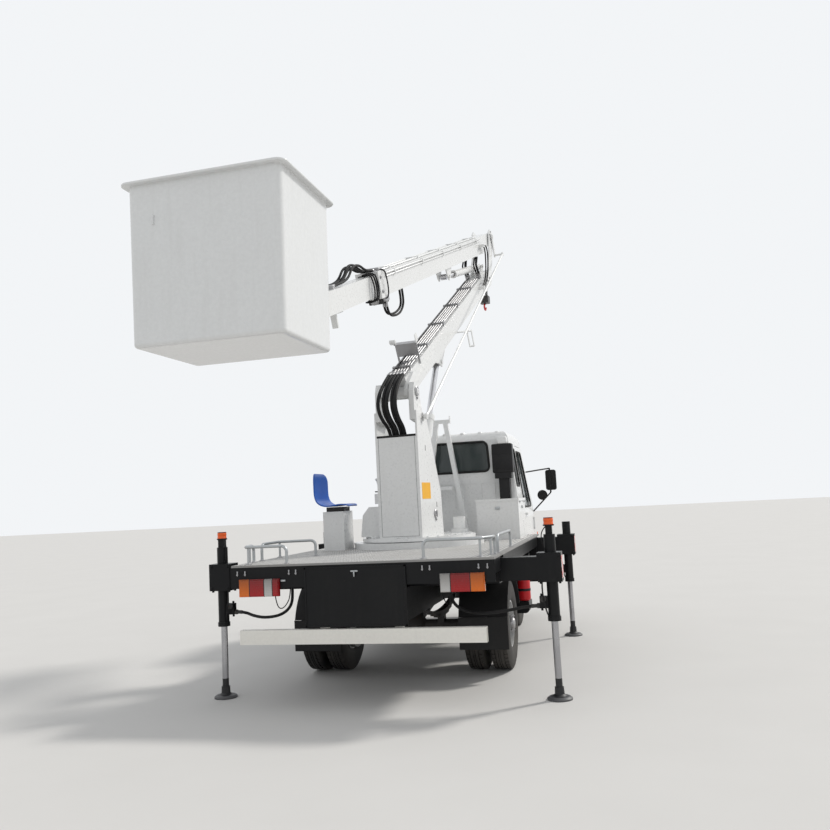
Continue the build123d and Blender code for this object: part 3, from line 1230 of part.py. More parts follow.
def level_rod():
    """Long rod beside the lower boom with an eye at each end."""
    a = level_foot(P1)
    b = level_foot(P2)
    angle = direction(a, b)
    body = link_rod(polar(a, angle, 20.0), polar(b, angle, -20.0), LEVEL_R, LEVEL_X)
    for c in (a, b):
        body += cross_rod(c, LEVEL_X - 12.0, LEVEL_X + 12.0, LEVEL_R * 2)
        body -= cross_rod(c, LEVEL_X - 40.0, LEVEL_X + 40.0, LEVEL_PIN_R + PIN_PLAY)
    return body


def elbow_lever():
    a = P2
    b = level_foot(P2)
    x0 = HEAD_OUT + 8.0
    x1 = x0 + 14.0
    angle = direction(a, b)
    reach = math.dist(a, b)
    arm = side_plate([polar(a, angle, 0.0, -30.0), polar(a, angle, reach, -30.0), polar(a, angle, reach, 30.0),
                      polar(a, angle, 0.0, 30.0)], x0, x1)
    arm += cross_rod(a, x0, x1, 46.0) + cross_rod(b, x0, x1, 30.0)
    arm -= cross_rod(a, x0, x1, PIN_R)
    return arm + cross_rod(b, x1, LEVEL_X + 14.0, LEVEL_PIN_R)


def upper_boom():
    """Open-ended box with its root at the elbow, a collar, the clevis under it and the slide motor."""
    half = UPPER_W / 2
    low = UPPER_MID - UPPER_H / 2
    high = UPPER_MID + UPPER_H / 2
    start = UPPER_START + 300.0
    floor = side_plate(upper_band(start, UPPER_LEN, low, low + UPPER_T), -half, half)
    roof = side_plate(upper_band(start, UPPER_LEN, high - UPPER_T, high), -half, half)
    wall = side_plate(upper_band(start, UPPER_LEN, low + UPPER_T, high - UPPER_T), half - UPPER_T, half)
    solid_start = side_plate(upper_band(UPPER_START + 60.0, start, low, high), -half, half)
    root = polygon((
        upper_at(UPPER_START + 60.0, low), upper_at(UPPER_START + 60.0, high), upper_at(60.0, 60.0), upper_at(-40.0, 50.0),
        upper_at(-66.0, 0.0), upper_at(-40.0, -50.0), upper_at(60.0, -90.0),
    ))
    end = UPPER_LEN - COLLAR_L
    collar_side = side_plate(upper_band(end, UPPER_LEN, low - COLLAR_T, high + COLLAR_T), half, half + COLLAR_T)
    collar_top = side_plate(upper_band(end, UPPER_LEN, high, high + COLLAR_T), -half, half)
    collar_low = side_plate(upper_band(end, UPPER_LEN, low - COLLAR_T, low), -half, half)
    near = upper_at(FOLD_EYE_AT[0] - 150.0, low)
    far = upper_at(FOLD_EYE_AT[0] + 90.0, low)
    ears = both_sides(clevis(FOLD_EYE, near, far, FOLD_EAR, 20.0))
    clamp = side_plate(upper_band(HOSE_B, HOSE_B + 40.0, UPPER_MID - 20.0, UPPER_MID + 20.0), half, ELBOW_HOSES[-1][0] + 20.0)
    motor = side_plate(upper_band(SLIDE_MOTOR_AT, SLIDE_MOTOR_AT + 150.0, low - 70.0, low), -70.0, 70.0)
    cap = side_plate(upper_band(SLIDE_MOTOR_AT - 70.0, SLIDE_MOTOR_AT, low - 56.0, low - 8.0), -34.0, 34.0)
    return apart(
        floor, roof, both_sides(wall), solid_start, along_x(root, -half, half) - cross_rod(P2, -half, half, PIN_R),
        both_sides(collar_side), collar_top, collar_low, ears, clamp, motor, cap,
    )


def inner_boom():
    """Sliding box with a nose for the tip pin and a bracket under its outer half."""
    half = INNER_W / 2
    low = UPPER_MID - INNER_H / 2
    high = UPPER_MID + INNER_H / 2
    end = UPPER_LEN + INNER_OUT
    box = side_plate(upper_band(UPPER_LEN - INNER_IN, end, low, high), -half, half)
    box -= side_plate(upper_band(UPPER_LEN, end, low + INNER_T, high - INNER_T), -half + INNER_T, half - INNER_T)
    y, z = TIP_PIN
    nose = polygon((
        upper_at(end - 60.0, low + INNER_T), upper_at(end, low), (y - 10.0, z - 60.0), (y - 60.0, z), (y - 10.0, z + 60.0),
        upper_at(end, high - 40.0), upper_at(end - 60.0, high - INNER_T),
    ))
    plate = along_x(nose, -NOSE_HALF, NOSE_HALF) - cross_rod(TIP_PIN, -NOSE_HALF, NOSE_HALF, TIP_PIN_R + PIN_PLAY)
    lid = side_plate(upper_band(end - PLATE_T, end, low, high), -half, half)
    foot = side_plate(upper_band(BRACKET_AT, BRACKET_AT + 80.0, low - 12.0, low), -60.0, 60.0)
    leg = side_plate(upper_band(BRACKET_AT + 60.0, BRACKET_AT + 80.0, low - BRACKET_H, low - 12.0), -26.0, 26.0)
    return apart(box, lid - along_x(nose, -NOSE_HALF, NOSE_HALF), plate, foot, leg)


def tip_mast():
    """Levelling head: fork on the tip pin, carrying the upright post."""
    y, z = TIP_PIN
    x0 = NOSE_HALF + 8.0
    x1 = x0 + PLATE_T
    cheek = polygon(((y + 60.0, z - 60.0), (y + 60.0, z + 60.0), (POST[1] - 50.0, z + 130.0), (POST[1] - 50.0, z - 170.0)))
    side = along_x(cheek, x0, x1)
    post = tube((0, POST[1], z - 200.0), (0, POST[1], z + 160.0), POST_R, STEM_R + 4.0)
    return side + mirrored(side) + post + cross_rod(TIP_PIN, -x1, x1, TIP_PIN_R)


def bucket_frame():
    """Stem in the post with two arms and the plate that the bucket hangs on."""
    y1 = POST[1]
    z = TIP_PIN[1]
    front = BUCKET_MID[1] + BUCKET_L / 2
    stem = upright(0, y1, z - 260.0, z + 210.0, STEM_R)
    stem += upright(0, y1, z + 166.0, z + 210.0, POST_R + 2.0) + upright(0, y1, z - 260.0, z - 206.0, POST_R + 2.0)
    arms = []
    for z0, z1 in ((z - 252.0, z - 212.0), (z + 172.0, z + 204.0)):
        arms.append(block(-40.0, 40.0, front + 22.0, y1, z0, z1))
    plate = block(-260.0, 220.0, front + 4.0, front + 24.0, z - 280.0, z + 240.0)
    foot = block(-240.0, 200.0, front - 20.0, front + 6.0, z - 180.0, z + 200.0)
    return stem + arms[0] + arms[1], apart(plate, foot)


def tub(grow, z0, z1):
    """Tapered round-cornered block of the bucket, grown by a thickness, between two heights."""
    x, y = BUCKET_MID
    w = BUCKET_W + 2 * grow
    length = BUCKET_L + 2 * grow
    low = Plane((x, y, z0)) * RectangleRounded(w - 2 * BUCKET_TAPER, length - 2 * BUCKET_TAPER, BUCKET_R + grow - 4.0)
    high = Plane((x, y, z1)) * RectangleRounded(w, length, BUCKET_R + grow)
    return loft([low, high])


def bucket():
    """Tub with a rolled lip, its floor edge rounded, and a step pad on the floor."""
    x, y = BUCKET_MID
    top = BUCKET_Z0 + BUCKET_H
    outer = tub(0.0, BUCKET_Z0, top)
    outer = fillet(outer.faces().sort_by(Axis.Z)[0].edges(), BUCKET_R * 0.6)
    inner = tub(-BUCKET_T, BUCKET_Z0 + BUCKET_T, top)
    w = BUCKET_W + 2 * BUCKET_LIP
    length = BUCKET_L + 2 * BUCKET_LIP
    lip = along_z(RectangleRounded(w, length, BUCKET_LIP_R), top - BUCKET_LIP_T, top)
    lip = fillet(lip.edges().group_by(Axis.Z)[0] + lip.edges().group_by(Axis.Z)[-1], BUCKET_LIP_T * 0.45)
    lip = Pos(x, y, 0) * lip
    return (outer + lip) - inner


def turret_hose_points(x, far):
    """From a pipe's lower end, back and down behind the boom's heel, into the turret's top."""
    y, z = lower_at(PIPE_NEAR, PIPE_ACROSS)
    back = lower_at(PIPE_NEAR - 170.0, PIPE_ACROSS)
    spread = x * 1.15
    inlet = CHEEK_BACK + PLATE_T + 55.0
    return [(x, y, z), (x, back[0], back[1]), (spread, y - 305.0 - far, z - 286.0), (spread, y - 265.0 - far, z - 436.0),
            (x, inlet, HOSE_BLOCK_Z + 150.0), (x, inlet, HOSE_BLOCK_Z)]


def elbow_hose_points(x, far):
    """From the lower boom's side, round the elbow, to the upper boom's side."""
    a = lower_at(HOSE_A, 40.0)
    a1 = lower_at(HOSE_A + 230.0 + far, 40.0)
    b = upper_at(HOSE_B, UPPER_MID)
    b1 = upper_at(HOSE_B - 190.0 - far, UPPER_MID)
    middle = ((a1[0] + b1[0]) / 2 + 60.0, (a1[1] + b1[1]) / 2)
    return [(x, *a), (x, *a1), (x, *middle), (x, *b1), (x, *b)]


def hose_set(name, table, points_of, radius):
    solids = []
    for x, far in table:
        piece, radii = hose(points_of(x, far), radius)
        solids.append(piece)
        print(name, "bend radii", radii)
    return apart(*solids)


def swing(shape):
    """Bucket and its frame, turned about the upright post."""
    return Pos(POST[0], POST[1], 0) * Rot(0, 0, BUCKET_SWING) * Pos(-POST[0], -POST[1], 0) * shape


def truck_nodes():
    nodes = {
        "chassis_frame": chassis_frame(),
        "axles": apart(
            rear_axle(), front_axle(), leaf_springs(0.0, REAR_SPRING), leaf_springs(WHEELBASE, FRONT_SPRING)
        ),
        "engine": engine(),
        "fuel_tank": fuel_tank(),
        "side_locker": side_locker(),
        "deck_frame": deck_frame(),
        "outrigger_sleeves": apart(sleeve(REAR_ROW), sleeve(FRONT_ROW)),
        "deck_plate": deck_plate(),
        "mudguards": mudguards(),
        "under_ride_bar": under_ride_bar(),
        "tail_lamps": tail_lamps(),
        "deck_rails": deck_rails(),
        "deck_cabinet": deck_cabinet(),
        "boom_rest": boom_rest(),
        "operator_seat": operator_seat(),
        "slew_base": slew_base(),
    }
    for side, word in ((-1, "left"), (1, "right")):
        nodes[f"steering_knuckle_{word}"] = knuckle(side)
        nodes[f"tyre_front_{word}"] = front_tyre(side)
        nodes[f"rim_front_{word}"] = front_rim(side)
        nodes[f"tyres_rear_{word}"] = rear_tyres(side)
        nodes[f"rims_rear_{word}"] = rear_rims(side)
    for name, side, row, jack_x, beacon_on in OUTRIGGERS:
        nodes[f"outrigger_beam_{name}"] = outrigger_beam(side, row, jack_x, beacon_on)
        nodes[f"outrigger_leg_{name}"] = outrigger_leg(side, row, jack_x)
    return nodes


def cab_nodes():
    shell, door, door_glass, panes = cab_pieces()
    return {
        "cab_shell": shell,
        "cab_glass": panes,
        "door_right": door,
        "door_glass_right": door_glass,
        "door_left": mirrored(door),
        "door_glass_left": mirrored(door_glass),
        "cab_interior": apart(cab_seats(), dashboard()),
        "cab_front": cab_front_pieces(),
        "mirrors": mirrors(),
        "air_intake": air_intake(),
    }


def boom_nodes():
    lift_barrel, lift_rod = cylinder(LIFT_BASE, LIFT_EYE, LIFT_CYLINDER)
    fold_barrel, fold_rod = cylinder(FOLD_BASE, FOLD_EYE, FOLD_CYLINDER)
    frame, plates = bucket_frame()
    nodes = {
        "turret": turret(),
        "lower_boom": lower_boom(),
        "boom_pipes": boom_cradle(),
        "hook_block": hook_block(),
        "lift_barrel": lift_barrel,
        "lift_rod": lift_rod,
        "fold_barrel": fold_barrel,
        "fold_rod": fold_rod,
        "level_rod": level_rod(),
        "elbow_lever": elbow_lever(),
        "upper_boom": upper_boom(),
        "inner_boom": inner_boom(),
        "tip_mast": tip_mast(),
        "bucket": swing(apart(bucket(), frame, plates)),
        "turret_hoses": hose_set("turret hoses", TURRET_HOSES, turret_hose_points, HOSE_R),
        "elbow_hoses": hose_set("elbow hoses", ELBOW_HOSES, elbow_hose_points, ELBOW_HOSE_R),
    }
    return {name: turned(shape) for name, shape in nodes.items()}


def main():
    nodes = truck_nodes() | cab_nodes() | boom_nodes()
    whole = Compound(children=[Compound(shape.solids()) for shape in nodes.values()])
    box = whole.bounding_box()
    shift = -(box.min.Y + box.max.Y) / 2
    print("box", box.min, box.max, "shift", shift)
    os.makedirs("parts", exist_ok=True)
    for name, shape in nodes.items():
        export_step(Pos(0, shift, 0) * shape, f"parts/{name}.step")


if __name__ == "__main__":
    main()
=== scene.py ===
"""Cherry picker truck: finishes, fittings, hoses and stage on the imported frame, in metres."""
import json
import math

import bpy
from bpy.props import FloatProperty, FloatVectorProperty, IntProperty, PointerProperty
from mathutils import Matrix, Vector


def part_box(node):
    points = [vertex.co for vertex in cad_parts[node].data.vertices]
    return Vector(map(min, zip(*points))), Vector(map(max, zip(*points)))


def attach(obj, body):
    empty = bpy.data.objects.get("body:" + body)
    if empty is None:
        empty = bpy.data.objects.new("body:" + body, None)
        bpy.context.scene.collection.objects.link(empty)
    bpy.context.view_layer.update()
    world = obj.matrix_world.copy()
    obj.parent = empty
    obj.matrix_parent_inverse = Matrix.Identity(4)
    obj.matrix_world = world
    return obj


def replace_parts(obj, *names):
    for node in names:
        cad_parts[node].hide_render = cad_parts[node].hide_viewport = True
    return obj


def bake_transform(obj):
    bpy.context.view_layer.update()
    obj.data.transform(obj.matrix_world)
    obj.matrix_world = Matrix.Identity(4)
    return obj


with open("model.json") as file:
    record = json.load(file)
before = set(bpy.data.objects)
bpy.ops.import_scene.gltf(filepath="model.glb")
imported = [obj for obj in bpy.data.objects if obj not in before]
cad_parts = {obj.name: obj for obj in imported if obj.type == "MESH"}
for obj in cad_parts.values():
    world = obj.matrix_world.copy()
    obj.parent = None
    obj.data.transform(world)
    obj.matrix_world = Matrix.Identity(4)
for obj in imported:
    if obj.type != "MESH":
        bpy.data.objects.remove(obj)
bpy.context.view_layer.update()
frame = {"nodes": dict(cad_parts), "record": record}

bl_info = {
    "name": "Cherry Picker Truck",
    "version": (1, 0, 0),
    "blender": (4, 5, 0),
    "location": "3D View > Sidebar > Truck",
    "description": "Paints the truck and adds its hoses, tyres, fittings and stage",
    "category": "Add Mesh",
}


def corners(node):
    """Low and high corner of a fixed part's box."""
    low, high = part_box(node)
    return Vector(low), Vector(high)


def middle(node):
    low, high = corners(node)
    return (low + high) / 2


SIDES = (("left", -1), ("right", 1))
UP = Vector((0, 0, 1))
AXLE_Y = middle("tyres_rear_right").y
SLEW = math.radians(6.2)
SLEW_Y = 0.5
HEEL = (-0.42, 2.574)
LOWER_ANGLE = math.radians(29.3)
ELBOW = (3.2301, 5.166)
UPPER_ANGLE = math.radians(200.8)


def truck(x, y, z):
    """Point measured from the ground below the rear axle."""
    return Vector((x, y + AXLE_Y, z))


def boom(x, s, z):
    """Point measured in the slewed boom's own plane, s forward from the slewing axis."""
    c, n = math.cos(SLEW), math.sin(SLEW)
    return truck(x * c + s * n, SLEW_Y + s * c - x * n, z)


ACROSS = boom(1, 0, 0) - boom(0, 0, 0)
AHEAD = boom(0, 1, 0) - boom(0, 0, 0)


def lower(along, across=0.0, x=0.0):
    """Point along the lower boom from its heel pin."""
    c, n = math.cos(LOWER_ANGLE), math.sin(LOWER_ANGLE)
    return boom(x, HEEL[0] + along * c - across * n, HEEL[1] + along * n + across * c)


def upper(along, across=0.0, x=0.0):
    """Point along the upper boom from the elbow pin toward the bucket."""
    c, n = math.cos(UPPER_ANGLE), math.sin(UPPER_ANGLE)
    return boom(x, ELBOW[0] + along * c + across * n, ELBOW[1] + along * n - across * c)


def by_lower(x, along, across):
    return lower(along, across, x)


def by_upper(x, along, across):
    return upper(along, across, x)


def run(place, x, *points):
    """Points along a boom that all lie at one x."""
    return [place(*point, x) for point in points]


def start():
    """Object mode, with nothing selected."""
    if bpy.context.object and bpy.context.object.mode != "OBJECT":
        bpy.ops.object.mode_set(mode="OBJECT")
    bpy.ops.object.select_all(action="DESELECT")


def pick(obj):
    start()
    obj.select_set(True)
    bpy.context.view_layer.objects.active = obj
    return obj


def edit(obj, kind="EDGE"):
    """Edit mode with everything selected."""
    pick(obj)
    bpy.ops.object.mode_set(mode="EDIT")
    bpy.ops.mesh.select_mode(type=kind)
    bpy.ops.mesh.select_all(action="SELECT")


def outward(obj):
    """Turns all faces outward and leaves edit mode."""
    bpy.ops.mesh.select_all(action="SELECT")
    bpy.ops.mesh.normals_make_consistent(inside=False)
    bpy.ops.object.mode_set(mode="OBJECT")
    return obj


def merged(obj):
    """Joins the points that lie on one another and turns all faces outward."""
    bpy.ops.mesh.select_all(action="SELECT")
    bpy.ops.mesh.remove_doubles(threshold=0.0001)
    return outward(obj)


def linked(name, data):
    obj = bpy.data.objects.new(name, data)
    bpy.context.scene.collection.objects.link(obj)
    return obj


def applied(obj, kind, **values):
    """Adds a modifier with these values and applies it."""
    pick(obj)
    modifier = obj.modifiers.new(kind.title(), kind)
    for key, value in values.items():
        setattr(modifier, key, value)
    bpy.ops.object.modifier_apply(modifier=modifier.name)
    return obj


def bevelled(obj, width, segments=2):
    if not width:
        return obj
    return applied(obj, "BEVEL", width=width, segments=segments, limit_method="ANGLE", angle_limit=0.6)


def settled(obj):
    """Moves the object's place, turn and size into its mesh."""
    pick(obj)
    bpy.ops.object.transform_apply(location=True, rotation=True, scale=True)
    return obj


def block(low, high, bevel=0.003, segments=2):
    """Bevelled block between two opposite corners."""
    start()
    low, high = Vector(low), Vector(high)
    bpy.ops.mesh.primitive_cube_add(size=1.0, location=(low + high) / 2)
    obj = bpy.context.object
    obj.scale = [abs(v) for v in high - low]
    return bevelled(settled(obj), bevel, segments)


def placed(obj, place):
    """Moves a piece drawn in a boom's (x, along, across), the turret's or the truck's own measures into its place."""
    origin = place(0, 0, 0)
    ways = [place(*way) - origin for way in ((1, 0, 0), (0, 1, 0), (0, 0, 1))]
    matrix = Matrix.Translation(origin) @ Matrix(ways).transposed().to_4x4()
    obj.data.transform(matrix)
    if matrix.determinant() < 0:
        obj.data.flip_normals()
    return obj


def slab(place, low, high, bevel=0.003, segments=2):
    return placed(block(low, high, bevel, segments), place)


def rod(a, b, radius, sides=20, bevel=0.002):
    """Bevelled round or many-sided bar between two points."""
    start()
    way = b - a
    turn = way.to_track_quat("Z", "Y").to_euler()
    bpy.ops.mesh.primitive_cylinder_add(
        vertices=sides, radius=radius, depth=way.length, location=(a + b) / 2, rotation=turn)
    return bevelled(settled(bpy.context.object), bevel)


def turned(profile, at, way, sides=40):
    """Shape turned about a line from a point along a way. The profile gives (distance, radius)."""
    start()
    first, radius = profile[0]
    bpy.ops.mesh.primitive_circle_add(vertices=sides, radius=radius, location=(0, 0, first), fill_type="NOTHING")
    obj = settled(bpy.context.object)
    edit(obj)
    for (far, wide), (near, before) in zip(profile[1:], profile):
        bpy.ops.mesh.extrude_edges_move(TRANSFORM_OT_translate={"value": (0, 0, far - near)})
        k = wide / before
        bpy.ops.transform.resize(value=(k, k, 1), center_override=(0, 0, far))
    bpy.ops.mesh.select_all(action="SELECT")
    bpy.ops.mesh.region_to_loop()
    bpy.ops.mesh.edge_face_add()
    outward(obj)
    obj.matrix_world = Matrix.Translation(at) @ Vector(way).to_track_quat("Z", "Y").to_matrix().to_4x4()
    return settled(obj)


def joined(objs):
    start()
    for obj in objs:
        obj.select_set(True)
    bpy.context.view_layer.objects.active = objs[0]
    if len(objs) > 1:
        bpy.ops.object.join()
    return bpy.context.object


def ringed(obj, axis, radius, count, first=0.0):
    """Copies of the piece on a circle about an axis, each with its own mesh, joined."""
    axis = Vector(axis).normalized()
    side = axis.orthogonal().normalized()
    made = []
    for k in range(count):
        mesh = obj.data.copy()
        turn = Matrix.Rotation(first + math.tau * k / count, 3, axis)
        mesh.transform(Matrix.Translation(turn @ side * radius))
        made.append(linked(obj.name, mesh))
    bpy.data.objects.remove(obj)
    return joined(made)


def ready(parts, name, finish, body, smooth=35.0):
    """Joins, names, smooths, paints and mounts a piece."""
    obj = pick(joined(parts) if isinstance(parts, list) else parts)
    bpy.ops.object.shade_smooth_by_angle(angle=math.radians(smooth))
    obj.name = name
    obj.data.name = name
    obj.data.materials.clear()
    obj.data.materials.append(FINISH[finish])
    if body:
        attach(obj, body)
    return obj


def swept(obj, radius, resolution=5):
    """Makes a closed tube of the curve."""
    obj.data.bevel_depth = radius
    obj.data.bevel_resolution = resolution
    obj.data.use_fill_caps = True
    pick(obj)
    bpy.ops.object.convert(target="MESH")
    obj = bpy.context.object
    edit(obj)
    return merged(obj)


def hose(name, points, diameter, body=None, bend=None, stands_for=None):
    """Hose or cable on a smooth line through its route; gives that line. It rides one body, or, given bend, it is
    left fixed where it lies, and bend's two bodies and hold ends are not used. stands_for is the fixed part that it
    takes the place of."""
    curve = bpy.data.curves.new(name, "CURVE")
    curve.dimensions = "3D"
    curve.resolution_u = 16
    spline = curve.splines.new("NURBS")
    spline.points.add(len(points) - 1)
    for knot, point in zip(spline.points, points):
        knot.co = (*point, 1.0)
    spline.order_u = 3
    spline.use_endpoint_u = True
    obj = linked(name, curve)
    path = [v.co.copy() for v in bpy.data.meshes.new_from_object(obj).vertices]
    obj = ready(swept(obj, diameter / 2), name, "hose_rubber", body, 60.0)
    if bend:
        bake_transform(obj)
    if stands_for:
        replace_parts(obj, stands_for)
    return path


def crimp(path, end, diameter, body, name, finish="bare_steel"):
    """Steel sleeve with a hexagon nut on a hose's end."""
    tip, near = (path[0], path[2]) if end == 0 else (path[-1], path[-3])
    way = (near - tip).normalized()
    r = diameter / 2
    sleeve = turned(
        ((0.0, r * 0.5), (0.004, r * 1.12), (0.014, r * 1.26), (0.022, r * 1.12), (0.03, r * 1.26), (0.042, r * 1.26),
         (0.05, r * 1.05)), tip, way, 20)
    nut = rod(tip - way * 0.016, tip + way * 0.004, r * 1.3, 6, 0.0012)
    ready([sleeve, nut], name, finish, body)


def bead(outline, radius, thick, place):
    """Round rubber bead along a closed outline whose corners are rounded. place puts its points on the cab."""
    start()
    mesh = bpy.data.meshes.new("bead")
    mesh.from_pydata([(u, v, 0.0) for u, v in outline], [], [range(len(outline))])
    obj = linked("bead", mesh)
    edit(obj)
    bpy.ops.mesh.bevel(offset=radius, segments=6, affect="VERTICES")
    bpy.ops.mesh.select_all(action="SELECT")
    bpy.ops.mesh.delete(type="ONLY_FACE")
    bpy.ops.object.mode_set(mode="OBJECT")
    for vertex in obj.data.vertices:
        vertex.co = place(vertex.co.x, vertex.co.y)
    pick(obj)
    bpy.ops.object.convert(target="CURVE")
    return swept(bpy.context.object, thick, 2)


class Graph:
    """Short way to add and join the nodes of one tree."""

    def __init__(self, tree):
        self.tree = tree

    def fill(self, node, values):
        """Links or sets a node's inputs."""
        for key, value in dict(values).items():
            socket = node.inputs[key]
            if isinstance(value, bpy.types.NodeSocket):
                self.tree.links.new(value, socket)
            else:
                socket.default_value = value
        return node

    def add(self, kind, values=(), **settings):
        node = self.tree.nodes.new(kind)
        for key, value in settings.items():
            setattr(node, key, value)
        return self.fill(node, values)

    def math(self, operation, *values, clamp=False):
        return self.add("ShaderNodeMath", enumerate(values), operation=operation, use_clamp=clamp).outputs[0]

    def plus(self, a, b):
        return self.math("ADD", a, b)

    def times(self, a, b):
        return self.math("MULTIPLY", a, b)

    def where(self):
        """The object's own coordinates."""
        return self.add("ShaderNodeTexCoord").outputs["Object"]

    def stretched(self, *scale):
        return self.add("ShaderNodeMapping", {"Vector": self.where(), "Scale": scale}).outputs[0]

    def axis(self, name):
        return self.add("ShaderNodeSeparateXYZ", {0: self.where()}).outputs[name]

    def band(self, low, high):
        """Mask of 1 between two heights."""
        height = self.axis("Z")
        return self.times(self.math("GREATER_THAN", height, low), self.math("LESS_THAN", height, high))

    def ranged(self, value, low, high, to_low=0.0, to_high=1.0):
        values = {"Value": value, "From Min": low, "From Max": high, "To Min": to_low, "To Max": to_high}
        return self.add("ShaderNodeMapRange", values).outputs["Result"]

    def mix(self, factor, a, b):
        return self.add("ShaderNodeMix", {0: factor, 6: a, 7: b}, data_type="RGBA").outputs[2]

    def noise(self, vector, scale, detail=3.0, roughness=0.5):
        values = {"Vector": vector, "Scale": scale, "Detail": detail, "Roughness": roughness}
        return self.add("ShaderNodeTexNoise", values).outputs["Fac"]

    def wave(self, way, scale, distortion=0.0, detail=2.0):
        values = {"Vector": self.where(), "Scale": scale, "Distortion": distortion, "Detail": detail}
        return self.add("ShaderNodeTexWave", values, bands_direction=way).outputs["Fac"]

    def grime(self, amount, streaks, height):
        """Dirt mask and fine mottling."""
        values = {"Amount": amount, "Streaks": streaks, "Dust Height": height}
        return self.add("ShaderNodeGroup", values, node_tree=GROUPS["grime"]).outputs.values()


def new_group(name, inputs, outputs):
    """Node group, its graph, the sockets that come in and the node that they leave by."""
    tree = bpy.data.node_groups.new(name, "ShaderNodeTree")
    for label, value in inputs.items():
        tree.interface.new_socket(label, in_out="INPUT", socket_type="NodeSocketFloat").default_value = value
    for label in outputs:
        tree.interface.new_socket(label, in_out="OUTPUT", socket_type="NodeSocketFloat")
    graph = Graph(tree)
    return tree, graph, graph.add("NodeGroupInput").outputs, graph.add("NodeGroupOutput")


def grime_group():
    """Dust that settles low, streaks that run down, and fine mottling."""
    tree, g, inside, outside = new_group(
        "Road Grime", {"Amount": 0.4, "Streaks": 0.3, "Dust Height": 1.0}, ("Dirt", "Mottle"))
    where = g.where()
    streak = g.ranged(g.noise(g.stretched(9.0, 9.0, 0.9), 2.2, 5.0, 0.6), 0.52, 0.78)
    cloud = g.ranged(g.noise(where, 1.7, 6.0, 0.62), 0.42, 0.78)
    fine = g.noise(where, 42.0, 4.0, 0.55)
    low = g.ranged(g.axis("Z"), 0.25, inside["Dust Height"], 1.0, 0.0)
    low = g.times(low, g.ranged(g.noise(where, 5.0, 5.0), 0.3, 0.75))
    total = g.plus(g.times(streak, inside["Streaks"]), g.times(cloud, inside["Amount"]))
    total = g.plus(total, g.times(low, inside["Amount"]))
    total = g.math("MULTIPLY", total, g.ranged(fine, 0.25, 0.7, 0.55, 1.0), clamp=True)
    g.fill(outside, {"Dirt": total, "Mottle": fine})
    return tree


def chip_group():
    """Small chips and rust spots."""
    tree, g, inside, outside = new_group("Paint Chips", {"Size": 60.0, "Share": 0.1}, ("Mask",))
    where = g.where()
    patch = g.ranged(g.noise(where, 3.1, 3.0), 0.5, 0.72)
    spot = g.noise(where, inside["Size"], 2.0, 0.7)
    edge = g.math("SUBTRACT", 0.78, g.times(inside["Share"], g.plus(patch, 0.2)))
    g.fill(outside, {"Mask": g.ranged(g.math("SUBTRACT", spot, edge), 0.0, 0.03)})
    return tree


class Finish(Graph):
    """Material that is being put together."""

    def __init__(self, name):
        self.material = bpy.data.materials.new(name)
        self.material.use_nodes = True
        super().__init__(self.material.node_tree)

    def done(self, colour, rough, bump=None, more=()):
        """Fills the shader and gives the material. bump is a height, a strength and a distance, and more the
        shader's other sockets."""
        values = {"Base Color": colour, "Roughness": rough, **dict(more)}
        if bump:
            heights = zip(("Height", "Strength", "Distance"), bump)
            values["Normal"] = self.add("ShaderNodeBump", heights).outputs[0]
        self.fill(self.tree.nodes["Principled BSDF"], values)
        return self.material


def rgba(colour, k=1.0):
    return (*(c * k for c in colour[:3]), 1.0)


def paint(name, colour, roughness=0.35, grime=0.25, streaks=0.2, dust=1.3, chips=0.0, chip_colour=(0.1, 0.055, 0.03),
          peel=0.0006, coat=0.0, metallic=0.0, dirt=(0.26, 0.23, 0.19), mark=None, sheen=0.5):
    """Painted, plastic or metal surface with grime, chips and a fine bump. mark is a band of height and its colour,
    and sheen how strongly the surface mirrors its surroundings."""
    g = Finish(name)
    dirty, mottle = g.grime(grime, streaks, dust)
    shade = g.mix(g.ranged(mottle, 0.3, 0.7), rgba(colour, 0.94), rgba(colour))
    if mark:
        shade = g.mix(g.band(*mark[:2]), shade, rgba(mark[2]))
    shade = g.mix(dirty, shade, rgba(dirt))
    rough = g.plus(roughness - 0.04, g.plus(g.times(dirty, 0.35), g.times(mottle, 0.08)))
    height = g.noise(g.where(), 130.0, 2.0)
    if chips:
        mask = g.add("ShaderNodeGroup", {"Share": chips}, node_tree=GROUPS["chips"]).outputs["Mask"]
        shade = g.mix(mask, shade, rgba(chip_colour))
        rough = g.plus(rough, g.times(mask, 0.3))
        height = g.math("SUBTRACT", height, g.times(mask, 0.6))
    more = {"Metallic": metallic, "Coat Weight": coat, "Specular IOR Level": sheen}
    return g.done(shade, rough, (height, 0.35, peel), more)


def tread_plate(name, colour):
    """Bare tread plate: its raised marks are rubbed bright, and dirt and rust lie between them."""
    g = Finish(name)
    where = g.where()
    marks = g.band(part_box("deck_plate")[1][2] + 0.0006, 9.0)
    stain = g.ranged(g.noise(where, 2.3, 8.0, 0.65), 0.5, 0.78)
    rust = g.ranged(g.noise(where, 7.5, 6.0, 0.7), 0.62, 0.8)
    fine = g.noise(where, 210.0, 3.0)
    low = g.mix(g.times(stain, 0.5), rgba(colour, 0.36), (0.17, 0.155, 0.135, 1))
    low = g.mix(g.times(rust, 0.35), low, (0.16, 0.085, 0.045, 1))
    high = g.mix(g.times(stain, 0.25), rgba(colour), (0.45, 0.42, 0.38, 1))
    rough = g.plus(0.44, g.times(g.plus(stain, fine), 0.14))
    return g.done(g.mix(marks, low, high), rough, (fine, 0.3, 0.0005), {"Metallic": 0.15, "Specular IOR Level": 0.35})


